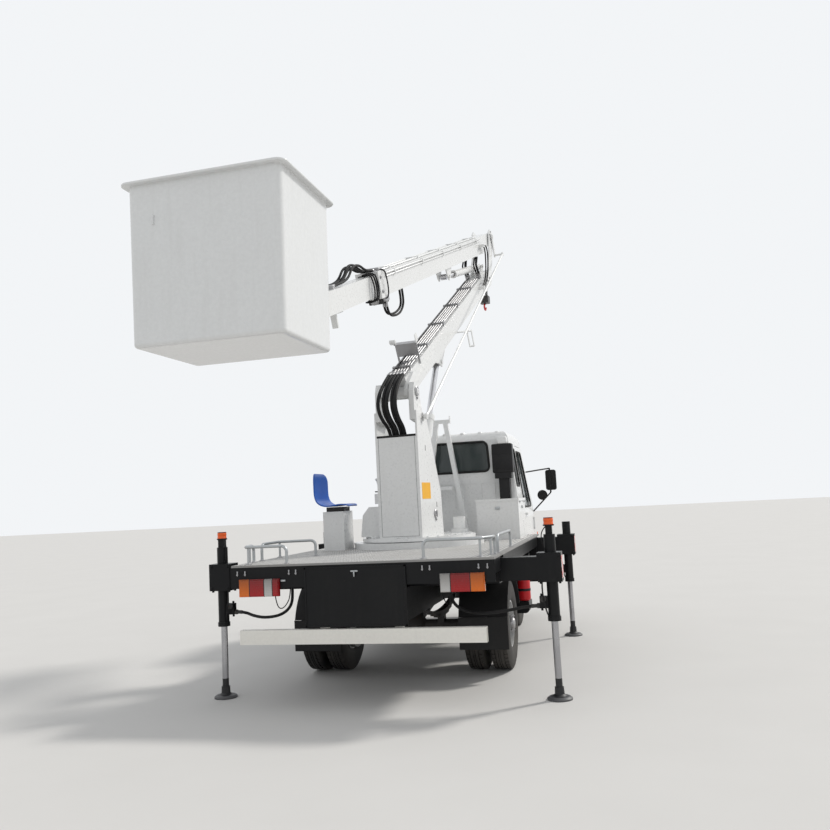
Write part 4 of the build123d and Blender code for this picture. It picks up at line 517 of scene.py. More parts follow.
def polished_rod(name, colour, socket=None):
    """Hard chrome with fine lengthwise wipe marks and an oily film. socket is the band of height of a black
    socket, with a grey foot below it."""
    g = Finish(name)
    fine = g.noise(g.stretched(260.0, 260.0, 4.0), 1.0, 2.0)
    film = g.noise(g.where(), 6.0, 4.0)
    shade = g.mix(g.ranged(film, 0.4, 0.75), rgba(colour), rgba(colour, 0.78))
    rough = g.plus(0.16, g.plus(g.times(fine, 0.08), g.times(film, 0.16)))
    metallic = 1.0
    if socket:
        black, foot = g.band(*socket), g.band(-1.0, socket[0])
        shade = g.mix(foot, g.mix(black, shade, (0.014, 0.014, 0.015, 1)), (0.085, 0.085, 0.088, 1))
        dull = g.math("MAXIMUM", black, foot)
        rough = g.plus(rough, g.times(dull, 0.25))
        metallic = g.math("SUBTRACT", 1.0, dull)
    return g.done(shade, rough, (fine, 0.15, 0.0003), {"Metallic": metallic})


def rubber(name, colour, weave=0.0, dust=0.5):
    """Rubber with dust in its pores; hoses get a fine wrapped texture."""
    g = Finish(name)
    dirty, mottle = g.grime(dust, 0.1, 0.9)
    height = g.noise(g.where(), 190.0, 3.0)
    if weave:
        height = g.plus(g.times(height, 0.4), g.wave("DIAGONAL", weave, 2.0, 1.0))
    shade = g.mix(g.times(dirty, 0.55), rgba(colour), (0.16, 0.145, 0.125, 1))
    return g.done(shade, g.plus(0.5, g.times(mottle, 0.3)), (height, 0.3, 0.0006), {"Specular IOR Level": 0.25})


def pane(name, colour):
    """Tinted window glass with a thin film of dust."""
    g = Finish(name)
    film = g.times(g.ranged(g.noise(g.where(), 3.0, 6.0), 0.35, 0.8), 0.12)
    shade = g.mix(film, rgba(colour), (0.35, 0.34, 0.32, 1))
    return g.done(shade, g.plus(0.04, film), None, {"Transmission Weight": 0.55, "IOR": 1.45})


# Distance from the truck's middle at which each tail lamp's clear, red and amber part begins
LEFT_LENS = (0.688, 0.757, 0.879)
RIGHT_LENS = (0.5, 0.714, 0.862)


def lamp_lens(name, red, amber, clear):
    """Ribbed lamp lens: amber outside, then red, then clear, with a last small red part on the left lamp. Its upper
    part is darkened with painted shade, so that its lower part looks lit.
    """
    g = Finish(name)
    side = g.axis("X")
    x, right = g.math("ABSOLUTE", side), g.math("GREATER_THAN", side, 0.0)
    dark, shade = 0.0, rgba(red)
    for a, b, colour in zip(LEFT_LENS, RIGHT_LENS, (clear, red, amber)):
        edge = g.ranged(right, 0.0, 1.0, a, b)
        shade = g.mix(g.math("GREATER_THAN", x, edge), shade, rgba(colour))
        seam = g.math("LESS_THAN", g.math("ABSOLUTE", g.math("SUBTRACT", x, edge)), 0.0035)
        dark = g.math("MAXIMUM", dark, seam)
    # Painted shade: the lens darkens towards its top, which leaves the lower part looking lit.
    high = g.times(g.ranged(g.axis("Z"), 0.855, 0.985), 0.55)
    shade = g.mix(dark, g.mix(high, shade, (0.03, 0.02, 0.02, 1)), (0.02, 0.015, 0.015, 1))
    across = g.wave("X", 26.0)
    ribs = g.plus(across, g.times(g.wave("Z", 20.0), 0.5))
    rough = g.plus(0.08, g.times(across, 0.15))
    return g.done(shade, rough, (ribs, 0.7, 0.002), {"Coat Weight": 0.2, "Specular IOR Level": 0.35})


def striped(name, first, second):
    """Slanted two-colour bands of a warning strip."""
    g = Finish(name)
    where = g.where()
    slant = g.math("FLOORED_MODULO", g.plus(g.axis("Y"), g.axis("Z")), 0.12)
    cell = g.noise(where, 320.0, 2.0)
    shade = g.mix(g.math("GREATER_THAN", slant, 0.06), rgba(first), rgba(second))
    shade = g.mix(g.ranged(g.noise(where, 12.0, 5.0), 0.55, 0.8), shade, (0.3, 0.27, 0.24, 1))
    return g.done(shade, g.plus(0.25, g.times(cell, 0.2)), (cell, 0.3, 0.0004))


GROUPS = {}
FINISH = {}


def colour(name, description, *value):
    return FloatVectorProperty(name=name, description=description, subtype="COLOR", size=3, default=value)


def length(name, description, value):
    return FloatProperty(name=name, description=description, unit="LENGTH", default=value)


def angle(name, description, degrees):
    return FloatProperty(name=name, description=description, subtype="ANGLE", default=math.radians(degrees))


class TruckColours(bpy.types.PropertyGroup):
    """Colours that a user may change before the truck is painted."""

    white: colour("White", "Cab, turret and booms", 0.8, 0.805, 0.8)
    glass_fibre: colour("Glass fibre", "Bucket's gel coat", 0.76, 0.77, 0.77)
    cream: colour("Bar", "Under-ride bar", 0.88, 0.86, 0.8)
    black: colour("Black", "Chassis, deck frame and outriggers", 0.0085, 0.009, 0.01)
    seat: colour("Seat", "Operator's seat", 0.008, 0.1, 0.46)
    red: colour("Red", "Hook and extinguisher", 0.56, 0.005, 0.012)
    amber: colour("Amber", "Beacons and turn lamps", 0.9, 0.12, 0.008)
    plate: colour("Blank plate", "Plain plate on the turret", 0.92, 0.47, 0.025)


class TruckSizes(bpy.types.PropertyGroup):
    """Sizes of the fittings."""

    jack_hose: length("Jack hose", "Diameter of the outriggers' hoses", 0.024)
    boom_hose: length("Boom hose", "Diameter of the hoses at the booms' ends", 0.022)
    turret_hose: length("Turret hose", "Diameter of the thick hoses", 0.034)
    elbow_hose: length("Elbow hose", "Diameter of the thin hoses", 0.018)
    bolt: length("Bolt head", "Radius of a common bolt's head", 0.013)
    groove: length("Tread groove", "Depth of the tyres' grooves", 0.009)
    mark: length("Tread mark", "Length of a raised mark on the deck", 0.028)
    mark_rise: length("Mark height", "Height of a raised mark", 0.0018)
    mark_pitch: length("Mark pitch", "Distance between marks", 0.034)
    tyre_sides: IntProperty(name="Tyre facets", description="Facets round a tyre", default=96)


class TruckStage(bpy.types.PropertyGroup):
    """Camera and light."""

    eye: FloatVectorProperty(name="Camera", description="Camera's place, from below the rear axle",
                             subtype="TRANSLATION", size=3, default=(1.97, -7.561, 1.516))
    heading: angle("Heading", "Turn to the left", 13.603)
    pitch: angle("Pitch", "Tilt upward", 6.035)
    roll: angle("Roll", "Turn about the view", -2.95)
    lens: FloatProperty(name="Lens", description="Focal length in millimetres", default=35.87)
    sun: FloatProperty(name="Key light", description="Strength of the key light", default=2.1)
    sky: FloatProperty(name="Fill light", description="Strength of the surrounding light", default=0.72)


def make_finishes(colours):
    GROUPS.update(grime=grime_group(), chips=chip_group())
    hook_low = corners("hook_block")[0].z
    soot = (0.05, 0.047, 0.043)
    FINISH.update(
        white_paint=paint("white paint", colours.white, 0.28, 0.045, 0.07, 1.5, coat=0.3),
        cream_paint=paint("bar paint", colours.cream, 0.42, 0.05, 0.05, 0.6, 0.05),
        black_paint=paint("black paint", colours.black, 0.34, 0.14, 0.1, 1.0, 0.04, (0.07, 0.05, 0.04),
                          dirt=soot, sheen=0.18),
        bare_steel=paint("bare steel", (0.42, 0.42, 0.43), 0.38, 0.2, 0.15, 1.0, 0.12, metallic=0.85),
        galvanised=paint("galvanised tube", (0.46, 0.48, 0.49), 0.34, 0.15, 0.1, 1.0, 0.05, metallic=0.75),
        cast_metal=paint("cast metal", (0.035, 0.035, 0.037), 0.6, 0.4, 0.2, 1.2, 0.2, peel=0.0014,
                         dirt=(0.1, 0.085, 0.07)),
        rim_silver=paint("rim silver", (0.6, 0.61, 0.62), 0.4, 0.35, 0.15, 0.9, 0.1, metallic=0.4),
        seat_blue=paint("seat blue", colours.seat, 0.36, 0.03, 0.03, 1.0, peel=0.0004, sheen=0.35,
                        mark=(0.0, 1.517, (0.016, 0.016, 0.017))),
        black_plastic=paint("black plastic", (0.011, 0.011, 0.012), 0.42, 0.1, 0.06, 1.6, peel=0.0008,
                            dirt=(0.08, 0.075, 0.07), sheen=0.25),
        hook_red=paint("hook red", colours.red, 0.35, 0.1, 0.1, 1.0, 0.08, sheen=0.35),
        hook_paint=paint("hook block paint", colours.red, 0.35, 0.2, 0.2, 1.0, 0.15,
                         mark=(hook_low + 0.085, hook_low + 1.0, (0.022, 0.022, 0.024))),
        fibreglass=paint("gel coat", colours.glass_fibre, 0.22, 0.05, 0.08, 1.0, coat=0.45, peel=0.0012),
        trim_grey=paint("trim grey", (0.16, 0.16, 0.165), 0.65, 0.1, 0.05, 1.0),
        amber_lens=paint("amber lens", colours.amber, 0.14, 0.04, 0.04, 1.0, coat=0.3, sheen=0.35),
        plate_yellow=paint("plate yellow", colours.plate, 0.45, 0.05, 0.08, 1.0, sheen=0.3),
        seal_rubber=rubber("seal rubber", (0.014, 0.014, 0.014), dust=0.12),
        chequer_plate=tread_plate("tread plate", (0.8, 0.79, 0.77)),
        chrome_rod=polished_rod("chrome rod", (0.62, 0.62, 0.64)),
        jack_chrome=polished_rod("jack chrome", (0.44, 0.44, 0.455), (0.024, 0.155)),
        tyre_rubber=rubber("tyre rubber", (0.016, 0.016, 0.017), dust=0.6),
        hose_rubber=rubber("hose rubber", (0.01, 0.01, 0.011), weave=90.0, dust=0.15),
        window_glass=pane("window glass", (0.08, 0.105, 0.105)),
        lamp_lens=lamp_lens("tail lamp", (0.42, 0.004, 0.007), (0.8, 0.17, 0.008), (0.6, 0.59, 0.57)),
        warning_strip=striped("warning strip", (0.6, 0.012, 0.015), (0.78, 0.77, 0.75)),
    )


class TRUCK_OT_finishes(bpy.types.Operator):
    """Paint every part of the fixed frame"""

    bl_idname = "truck.finishes"
    bl_label = "Paint the Truck"

    def execute(self, context):
        make_finishes(context.scene.truck_colours)
        for part in frame["record"]["subparts"]:
            node, finish = part["node"], part["material_slot"]
            if node == "hook_block":
                finish = "hook_paint"
            elif node.startswith("outrigger_leg_"):
                finish = "jack_chrome"
            obj = pick(frame["nodes"][node])
            obj.data.materials.clear()
            obj.data.materials.append(FINISH[finish])
            for face in obj.data.polygons:
                face.use_smooth = False
            bpy.ops.object.shade_smooth_by_angle(angle=math.radians(28))
        return {"FINISHED"}


TYRE_W = 0.185
RIM_R = 0.205
BLOCKS = 48     # raised blocks on each edge of a tread


def edit_faces(obj, test):
    """Edit mode with only the faces selected for which the test holds."""
    edit(obj, "FACE")
    bpy.ops.mesh.select_all(action="DESELECT")
    bpy.ops.object.mode_set(mode="OBJECT")
    for face in obj.data.polygons:
        face.select = test(face)
    bpy.ops.object.mode_set(mode="EDIT")


def sunk(depth):
    """Pushes the selected faces in."""
    bpy.ops.mesh.extrude_region_shrink_fatten(TRANSFORM_OT_shrink_fatten={"value": -depth})
    bpy.ops.object.mode_set(mode="OBJECT")


def tyre_shape(centre, inner, outer, r, sizes):
    """Turned tyre, open in the middle, with sunk grooves in its tread. inner and outer are its two faces, along x."""
    w = outer - inner
    foot = RIM_R + 0.004
    shoulder = [(0.016, foot), (0.006, foot + 0.022), (0.0, foot + 0.055), (0.001, r - 0.075), (0.006, r - 0.045),
                (0.012, r - 0.022), (0.022, r - 0.005)]
    cuts = ((0.052, 0.059), (0.081, 0.088), (w - 0.088, w - 0.081), (w - 0.059, w - 0.052))
    across = [0.03, *(x for cut in cuts for x in cut), w - 0.03]
    tread = [(x, r - 0.001 - 0.004 * abs(x / w - 0.5) * 2) for x in across]
    far = [(w - x, y) for x, y in reversed(shoulder)]
    seat = [(w - 0.024, RIM_R + 0.002), (0.024, RIM_R + 0.002)]
    at = Vector((inner, centre.y, centre.z))
    obj = turned(shoulder + tread + far + seat + shoulder[:1], at, (1, 0, 0), sizes.tyre_sides)
    edit_faces(obj, lambda face: len(face.vertices) > 4)
    bpy.ops.mesh.delete(type="ONLY_FACE")
    merged(obj)

    def on_tread(face, depth):
        """Place across the tread, or 0 for a face further in."""
        y, z = face.center.y - centre.y, face.center.z - centre.z
        return face.center.x - inner if math.hypot(y, z) > r - depth else 0.0

    def between_blocks(face):
        x = on_tread(face, 0.012)
        turn = math.degrees(math.atan2(face.center.z - centre.z, face.center.y - centre.y)) % (360 / BLOCKS)
        return (0.022 < x < 0.052 or w - 0.052 < x < w - 0.022) and turn < 180 / BLOCKS

    edit_faces(obj, lambda face: any(a < on_tread(face, 0.02) < b for a, b in cuts))
    sunk(sizes.groove)
    edit_faces(obj, between_blocks)
    sunk(sizes.groove * 0.6)
    return obj


class TRUCK_OT_tyres(bpy.types.Operator):
    """Model the tyres with grooved treads"""

    bl_idname = "truck.tyres"
    bl_label = "Tyres"

    def execute(self, context):
        sizes = context.scene.truck_sizes
        for word, _ in SIDES:
            node = f"tyres_rear_{word}"
            low, high = corners(node)
            radius = (high.z - low.z) / 2
            pair = [tyre_shape(middle(node), a, b, radius, sizes)
                    for a, b in ((low.x, low.x + TYRE_W), (high.x - TYRE_W, high.x))]
            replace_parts(ready(pair, f"tread_{node}", "tyre_rubber", f"wheels_rear_{word}"), node)
            node = f"tyre_front_{word}"
            low, high = corners(node)
            obj = tyre_shape(middle(node), low.x, high.x, radius, sizes)
            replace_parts(ready(obj, f"tread_{node}", "tyre_rubber", f"wheel_front_{word}"), node)
        return {"FINISHED"}


class TRUCK_OT_wheel_nuts(bpy.types.Operator):
    """Add wheel nuts and hub caps"""

    bl_idname = "truck.wheel_nuts"
    bl_label = "Wheel Nuts"

    def execute(self, context):
        for word, side in SIDES:
            for body, node in ((f"wheels_rear_{word}", f"rims_rear_{word}"),
                               (f"wheel_front_{word}", f"rim_front_{word}")):
                out = Vector((side, 0, 0))
                face = middle(node)
                face.x = corners(node)[side > 0].x
                base = face - out * 0.004
                nut = rod(base, base + out * 0.02, 0.015, 6, 0.0015)
                stud = rod(base + out * 0.016, base + out * 0.03, 0.008, 12, 0.001)
                nuts = ringed(joined([nut, stud]), out, 0.072, 6, 0.2)
                cap = turned(((-0.004, 0.05), (0.002, 0.052), (0.022, 0.05), (0.032, 0.042), (0.036, 0.02)),
                             face, out, 32)
                ready([nuts, cap], f"wheel_nuts_{node}", "bare_steel", body)
        return {"FINISHED"}


# How far to the side each hose lies, and how much further out it bows
TURRET_ROUTES = ((-0.072, 0.04), (-0.036, 0.01), (0.0, 0.03), (0.036, 0.0), (0.072, 0.02))
ELBOW_ROUTES = ((0.128, 0.0), (0.152, 0.03))


class TRUCK_OT_turret_hoses(bpy.types.Operator):
    """Hang the thick hoses behind the boom's heel"""

    bl_idname = "truck.turret_hoses"
    bl_label = "Turret Hoses"

    def execute(self, context):
        size = context.scene.truck_sizes.turret_hose
        s, z = -0.3907, 2.767
        for k, (x, far) in enumerate(TURRET_ROUTES, 1):
            route = [
                lower(0.12, 0.154, x), lower(-0.05, 0.154, x), boom(x * 1.15, s - 0.305 - far, z - 0.286),
                boom(x * 1.15, s - 0.265 - far, z - 0.436), boom(x, -0.434, 2.2), boom(x, -0.434, 2.05),
            ]
            bend = ("turret", "lower_boom", boom(0, -0.44, 2.1), lower(0.1, 0.154))
            path = hose(f"turret_hose_{k}", route, size, bend=bend, stands_for="turret_hoses")
            crimp(path, 0, size, "lower_boom", f"hose_crimp_boom_{k}")
            crimp(path, 1, size, "turret", f"hose_crimp_turret_{k}")
        return {"FINISHED"}


class TRUCK_OT_elbow_hoses(bpy.types.Operator):
    """Lead the thin hoses round the elbow"""

    bl_idname = "truck.elbow_hoses"
    bl_label = "Elbow Hoses"

    def execute(self, context):
        size = context.scene.truck_sizes.elbow_hose
        for k, (x, far) in enumerate(ELBOW_ROUTES, 1):
            a, a1 = run(lower, x, (3.42, 0.04), (3.65 + far, 0.04))
            b, b1 = run(upper, x, (0.64, -0.066), (0.45 - far, -0.066))
            route = [a, a1, (a1 + b1) / 2 + AHEAD * 0.06, b1, b]
            bend = ("lower_boom", "upper_boom", a1, b1)
            path = hose(f"elbow_hose_{k}", route, size, bend=bend, stands_for="elbow_hoses")
            crimp(path, 0, size, "lower_boom", f"elbow_crimp_lower_{k}")
            crimp(path, 1, size, "upper_boom", f"elbow_crimp_upper_{k}")
        return {"FINISHED"}


def hex_bolt(place, out, radius, tall=0.6):
    """Hexagon head on a washer."""
    out = Vector(out).normalized()
    washer = rod(place - out * 0.002, place + out * radius * 0.22, radius * 1.35, 16, radius * 0.06)
    head = rod(place + out * radius * 0.2, place + out * radius * (0.2 + tall), radius, 6, radius * 0.1)
    return joined([washer, head])


def pin_cap(at, out, radius):
    """Turned end cap of a pivot pin, with a recess and a grease nipple."""
    cap = turned(
        ((-0.002, radius), (0.008, radius), (0.012, radius * 0.9), (0.012, radius * 0.45), (0.006, radius * 0.4)),
        at, out, 32)
    nipple = rod(at + out * 0.004, at + out * 0.018, radius * 0.14, 12, 0.0008)
    return joined([cap, nipple])


class TRUCK_OT_turret_fittings(bpy.types.Operator):
    """Add the slewing ring's bolts, pin caps, slots, edge trim and the blank plate"""

    bl_idname = "truck.turret_fittings"
    bl_label = "Turret Fittings"

    def execute(self, context):
        r = context.scene.truck_sizes.bolt
        ring_bolts = ringed(hex_bolt(boom(0, 0, 1.19), UP, r), UP, 0.515, 32)
        motor_bolts = ringed(hex_bolt(boom(0.31, 0.37, 1.225), UP, r * 0.7), UP, 0.075, 6)
        ready([ring_bolts, motor_bolts], "slewing_ring_bolts", "white_paint", "turret")
        pins = []
        for side in (-1, 1):
            out = ACROSS * side
            for x, s, z, big in ((0.199, *HEEL, 0.05), (0.217, -0.1, 1.4, 0.042)):
                at = boom(side * x, s, z)
                pins.append(pin_cap(at, out, big))
                pins.append(hex_bolt(at + out * 0.004 - UP * big * 1.35, out, r * 0.8))
        ready(pins, "turret_pin_caps", "bare_steel", "turret")
        plate = slab(boom, (0.215, -0.452, 1.546), (0.2168, -0.211, 1.701), 0.0006, 1)
        ready(plate, "turret_blank_plate", "plate_yellow", "turret")
        trim = [slab(boom, (-0.199, -0.509, 2.14), (0.199, -0.484, 2.162), 0.005)]
        for s, z in ((-0.379, 2.292), (-0.3, 2.033), (-0.042, 1.488)):
            trim.append(slab(boom, (0.2146, s - 0.006, z - 0.026), (0.2158, s + 0.006, z + 0.026), 0.0004, 1))
        trim.append(rod(boom(-0.325, -0.3, 1.64), boom(-0.325, 0.04, 1.64), 0.006))
        ready(trim, "turret_edge_trim", "seal_rubber", "turret")
        seams = [slab(boom, (x0, -0.5062, 1.205), (x1, -0.5045, z), 0)
                 for x0, x1, z in ((-0.186, -0.183, 2.135), (0.183, 0.186, 2.135), (-0.186, 0.186, 1.208))]
        ready(seams, "turret_panel_seams", "trim_grey", "turret")
        return {"FINISHED"}


# Name, side, the beam's place along the truck, the jack's distance from its middle, and whether it has a beacon
JACKS = (
    ("rear_left", -1, -1.13, 1.31, True), ("rear_right", 1, -1.13, 1.417, True),
    ("front_left", -1, 1.735, 1.417, False), ("front_right", 1, 1.735, 1.362, False),
)


class TRUCK_OT_outrigger_fittings(bpy.types.Operator):
    """Add warning strips, beacons, valves, bolts and hoses to the outriggers"""

    bl_idname = "truck.outrigger_fittings"
    bl_label = "Outrigger Fittings"

    def execute(self, context):
        r = context.scene.truck_sizes.bolt
        thick = context.scene.truck_sizes.jack_hose
        for name, side, row, jack, lit in JACKS:
            body = f"outrigger_beam_{name}"

            def at(x, y, z):
                return truck(side * (jack + x), row + y, z)

            strip = block(at(0.0835, -0.068, 0.895), at(0.0855, 0.068, 1.065), 0.0005, 1)
            ready(strip, f"end_strip_{name}", "warning_strip", body)
            bolts = []
            for x in (-0.08, 0.064):
                bolts += [hex_bolt(at(x, -0.081, z), (0, -1, 0), r * 0.8) for z in (0.892, 1.07)]
                bolts += [hex_bolt(at(x, y, 0.872), -UP, r * 0.8, 1.1) for y in (-0.055, 0.055)]
            ready(bolts, f"head_bolts_{name}", "black_paint", body)
            knobs = [
                turned(((0.0, 0.016), (0.006, 0.02), (0.022, 0.02), (0.028, 0.012)),
                       at(-0.102, 0, 0.69), (-side, 0, 0), 20),
                turned(((0.0, 0.014), (0.004, 0.024), (0.016, 0.024), (0.02, 0.014)),
                       at(-0.075, -0.024, 0.742), (0, -1, 0), 12),
            ]
            ready(knobs, f"valve_fittings_{name}", "cast_metal", body)
            wiper = turned(((0.0, 0.0415), (0.001, 0.0445), (0.007, 0.0455), (0.012, 0.0445)), at(0, 0, 0.5755), UP)
            ready(wiper, f"jack_wiper_{name}", "bare_steel", body)
            if lit:
                dome = turned(
                    ((1.2985, 0.034), (1.299, 0.038), (1.308, 0.0385), (1.311, 0.0368), (1.325, 0.0368),
                     (1.328, 0.0385), (1.343, 0.0375), (1.35, 0.034), (1.3535, 0.022)), at(0, 0, 0), UP, 36)
                ready(dome, f"beacon_{name}", "amber_lens", body)
                wire = [at(-0.02, -0.03, 1.286), at(-0.045, -0.036, 1.262), at(-0.06, -0.04, 1.215),
                        at(-0.05, -0.038, 1.15), at(-0.03, -0.03, 1.091)]
                hose(f"beacon_wire_{name}", wire, 0.008, body)
            loop = [at(-0.07, -0.06, 0.88), at(-0.076, -0.064, 0.81), at(-0.06, -0.062, 0.7),
                    at(-0.048, -0.05, 0.64), at(-0.04, -0.02, 0.615)]
            hose(f"jack_pipe_{name}", loop, 0.012, body)
            far = row + math.copysign(0.11, row)
            route = [at(-0.122, 0, 0.69), at(-0.195, 0, 0.687)] + [truck(side * x, y, z) for x, y, z in (
                (jack * 0.42 + 0.47, (row + far) / 2, 0.664), (jack * 0.22 + 0.6, far, 0.652), (0.745, far, 0.672),
                (0.655, far, 0.745), (0.645, far, 0.87), (0.645, far, 1.07))]
            path = hose(f"jack_hose_{name}", route, thick, bend=("chassis", body, route[4], route[1]))
            crimp(path, 0, thick, body, f"jack_crimp_{name}", "cast_metal")
        return {"FINISHED"}


class TRUCK_OT_boom_fittings(bpy.types.Operator):
    """Add pin caps, bolts, pipes, clamps and hoses on the booms"""

    bl_idname = "truck.boom_fittings"
    bl_label = "Boom Fittings"

    def execute(self, context):
        sizes = context.scene.truck_sizes
        self.lower_parts(sizes.bolt)
        self.upper_parts(sizes.bolt)
        self.end_hoses(sizes.boom_hose)
        self.elbow_bundle(sizes.boom_hose * 0.9)
        return {"FINISHED"}

    def lower_parts(self, r):
        """Bolts, cradle guides and the long thin hose of the lower boom."""
        parts = []
        for x in (-0.126, 0.126):
            out = ACROSS * math.copysign(1, x)
            parts.append(ringed(hex_bolt(boom(x, *ELBOW), out, r * 0.7), out, 0.071, 6))
            parts += [hex_bolt(lower(along, 0.02, x), out, r) for along in (3.7, 3.82, 3.94)]
            parts.append(ringed(hex_bolt(boom(x * 1.11, *HEEL), out, r * 0.6), out, 0.06, 4, 0.4))
        top = lower(0, 1) - lower(0, 0)
        for along in (0.26, 0.9, 1.6, 2.3, 3.0):
            parts += [hex_bolt(lower(along + 0.017, 0.171, x), top, r * 0.6) for x in (-0.06, 0.0, 0.06)]
        ready(parts, "lower_boom_bolts", "bare_steel", "lower_boom")
        pad = [
            slab(by_lower, (0.116, 0.5, 0.322), (0.123, 0.575, 0.405)),
            slab(by_lower, (0.104, 0.5, 0.318), (0.123, 0.56, 0.33)),
            rod(lower(0.53, 0.345, -0.165), lower(0.53, 0.345, -0.106), 0.022),
            slab(by_lower, (-0.158, 0.515, 0.318), (-0.106, 0.545, 0.33)),
        ]
        ready(pad, "cradle_guides", "white_paint", "lower_boom")
        route = [lower(*point) for point in (
            (0.2, 0.176, -0.03), (0.6, 0.19, -0.03), (1.2, 0.181, -0.034), (1.8, 0.194, -0.028),
            (2.4, 0.182, -0.032), (2.95, 0.192, -0.028), (3.45, 0.178, -0.03))]
        hose("boom_long_hose", route, 0.014, "lower_boom")

    def upper_parts(self, r):
        """Bolts, pin caps, pipes and clamps of the upper boom's outer box."""
        parts = []
        for x in (-0.113, 0.113):
            out = ACROSS * math.copysign(1, x)
            parts += [hex_bolt(upper(4.515, across, x), out, r) for across in (-0.13, 0.0)]
            parts.append(turned(((0.0, 0.05), (0.006, 0.05), (0.008, 0.046)), upper(0.0, 0.0, x * 0.885), out, 32))
        top = upper(0, 1) - upper(0, 0)
        parts += [hex_bolt(upper(4.515, 0.059, x), top, r) for x in (-0.06, 0.06)]
        ready(parts, "upper_boom_bolts", "bare_steel", "upper_boom")
        pipes = [rod(*run(upper, x, (0.62, across), (4.36, across)), 0.0085, 16)
                 for x, across in ((0.11, 0.022), (0.11, -0.006), (0.06, 0.056), (0.03, 0.056), (-0.06, 0.056))]
        for along in (0.8, 1.6, 2.4, 3.2, 4.1):
            pipes.append(slab(by_upper, (0.099, along, -0.02), (0.123, along + 0.03, 0.036), 0.002))
            pipes.append(slab(by_upper, (-0.075, along, 0.044), (0.075, along + 0.03, 0.069), 0.002))
        ready(pipes, "upper_boom_pipes", "white_paint", "upper_boom")

    def end_hoses(self, thick):
        """Hoses that leave the outer box's end: humps on top, straps down the side and a loop below."""
        manifold = [
            slab(by_upper, (-0.07, 4.38, 0.046), (0.085, 4.455, 0.085), 0.004),
            slab(by_upper, (0.05, 4.33, -0.232), (0.095, 4.44, -0.18), 0.004),
        ]
        ready(manifold, "boom_end_manifolds", "bare_steel", "upper_boom")
        cover = slab(by_upper, (-0.073, 4.297, -0.251), (0.073, 4.453, -0.179), 0.008, 3)
        ready(cover, "slide_motor_cover", "cast_metal", "upper_boom")
        rings = turned(
            ((0.0, 0.036), (0.003, 0.038), (0.013, 0.038), (0.016, 0.03), (0.034, 0.03), (0.037, 0.036),
             (0.047, 0.036), (0.05, 0.028)), (0, 4.452, -0.213), (0, 1, 0), 32)
        ready(placed(rings, by_upper), "slide_motor_rings", "bare_steel", "upper_boom")
        humps = ((-0.05, 0.0, 0.0), (-0.022, 0.012, 0.03), (0.008, -0.012, -0.03), (0.036, 0.004, 0.01))
        for k, (x, rise, back) in enumerate(humps, 1):
            route = run(
                upper, x, (4.445, 0.066), (4.56, 0.076), (4.68 - back, 0.09 + rise), (4.8 - back, 0.15 + rise),
                (4.95 - back, 0.152 + rise), (5.07 - back, 0.075), (5.2, 0.05 + rise / 2), (5.33, 0.052), (5.43, 0.042))
            bend = ("upper_boom", "inner_boom", route[1], route[6])
            path = hose(f"boom_hump_hose_{k}", route, thick, bend=bend)
            crimp(path, 0, thick, "upper_boom", f"hump_crimp_{k}")
        manifold = slab(by_upper, (-0.065, 5.4, 0.026), (0.052, 5.45, 0.062), 0.004)
        ready(manifold, "inner_boom_manifold", "bare_steel", "inner_boom")
        for k, (x, along) in enumerate(((0.104, 4.655), (0.118, 4.685), (0.107, 4.715), (0.112, 4.622)), 1):
            route = [upper(along + more, across, far) for more, across, far in (
                (-0.02, 0.05, 0.01), (-0.01, 0.062, x - 0.014), (0, -0.035, x + 0.01), (0.012, -0.115, x + 0.012),
                (0.03, -0.205, x - 0.006), (0.03, -0.186, 0.02))]
            hose(f"boom_side_hose_{k}", route, 0.014, "upper_boom")
        for k, (x, along) in enumerate(((0.126, 4.4), (0.132, 4.425)), 1):
            route = [upper(along + more, across, far) for more, across, far in (
                (0, 0.064, 0.08), (0, 0.06, x - 0.005), (0.01, -0.02, x + 0.008), (0.012, -0.12, x + 0.008),
                (0, -0.195, x - 0.01), (0, -0.206, 0.095))]
            hose(f"boom_collar_hose_{k}", route, 0.01, "upper_boom")
        for k, (x, drop) in enumerate(((0.058, 0.0), (0.085, 0.018)), 1):
            route = run(
                upper, x, (4.405, -0.234), (4.415, -0.29), (4.37, -0.354 - drop), (4.25, -0.378 - drop),
                (4.09, -0.378 - drop), (3.97, -0.345), (3.925, -0.275), (3.925, -0.182))
            path = hose(f"boom_low_loop_{k}", route, thick, "upper_boom")
            crimp(path, 0, thick, "upper_boom", f"low_loop_crimp_{k}")

    def elbow_bundle(self, thick):
        """Black hoses that cross the elbow under the upper boom's root, with their fittings by the fold cylinder."""
        fittings = [slab(by_lower, (x, 3.545, 0.13), (x + 0.052, 3.6, 0.172), 0.004) for x in (-0.102, 0.05)]
        ready(fittings, "elbow_lower_manifold", "bare_steel", "lower_boom")
        fitting = slab(by_upper, (-0.075, 0.8, -0.196), (0.075, 0.85, -0.176), 0.004)
        ready(fitting, "elbow_upper_manifold", "bare_steel", "upper_boom")
        rows = ((-0.094, 0.03), (-0.074, 0.0), (-0.054, 0.012), (0.054, 0.02), (0.074, 0.0), (0.094, 0.03))
        for k, (x, slack) in enumerate(rows, 1):
            a, a1 = run(lower, x, (3.57, 0.152), (3.56 - slack, 0.255))
            b, b1 = run(upper, x, (0.825, -0.19), (0.86 + slack, -0.255))
            route = [a, a1, (a1 + b1) / 2 - AHEAD * (0.03 + slack), b1, b]
            path = hose(f"elbow_short_hose_{k}", route, thick, bend=("lower_boom", "upper_boom", a1, b1))
            crimp(path, 0, thick, "lower_boom", f"elbow_short_crimp_{k}")


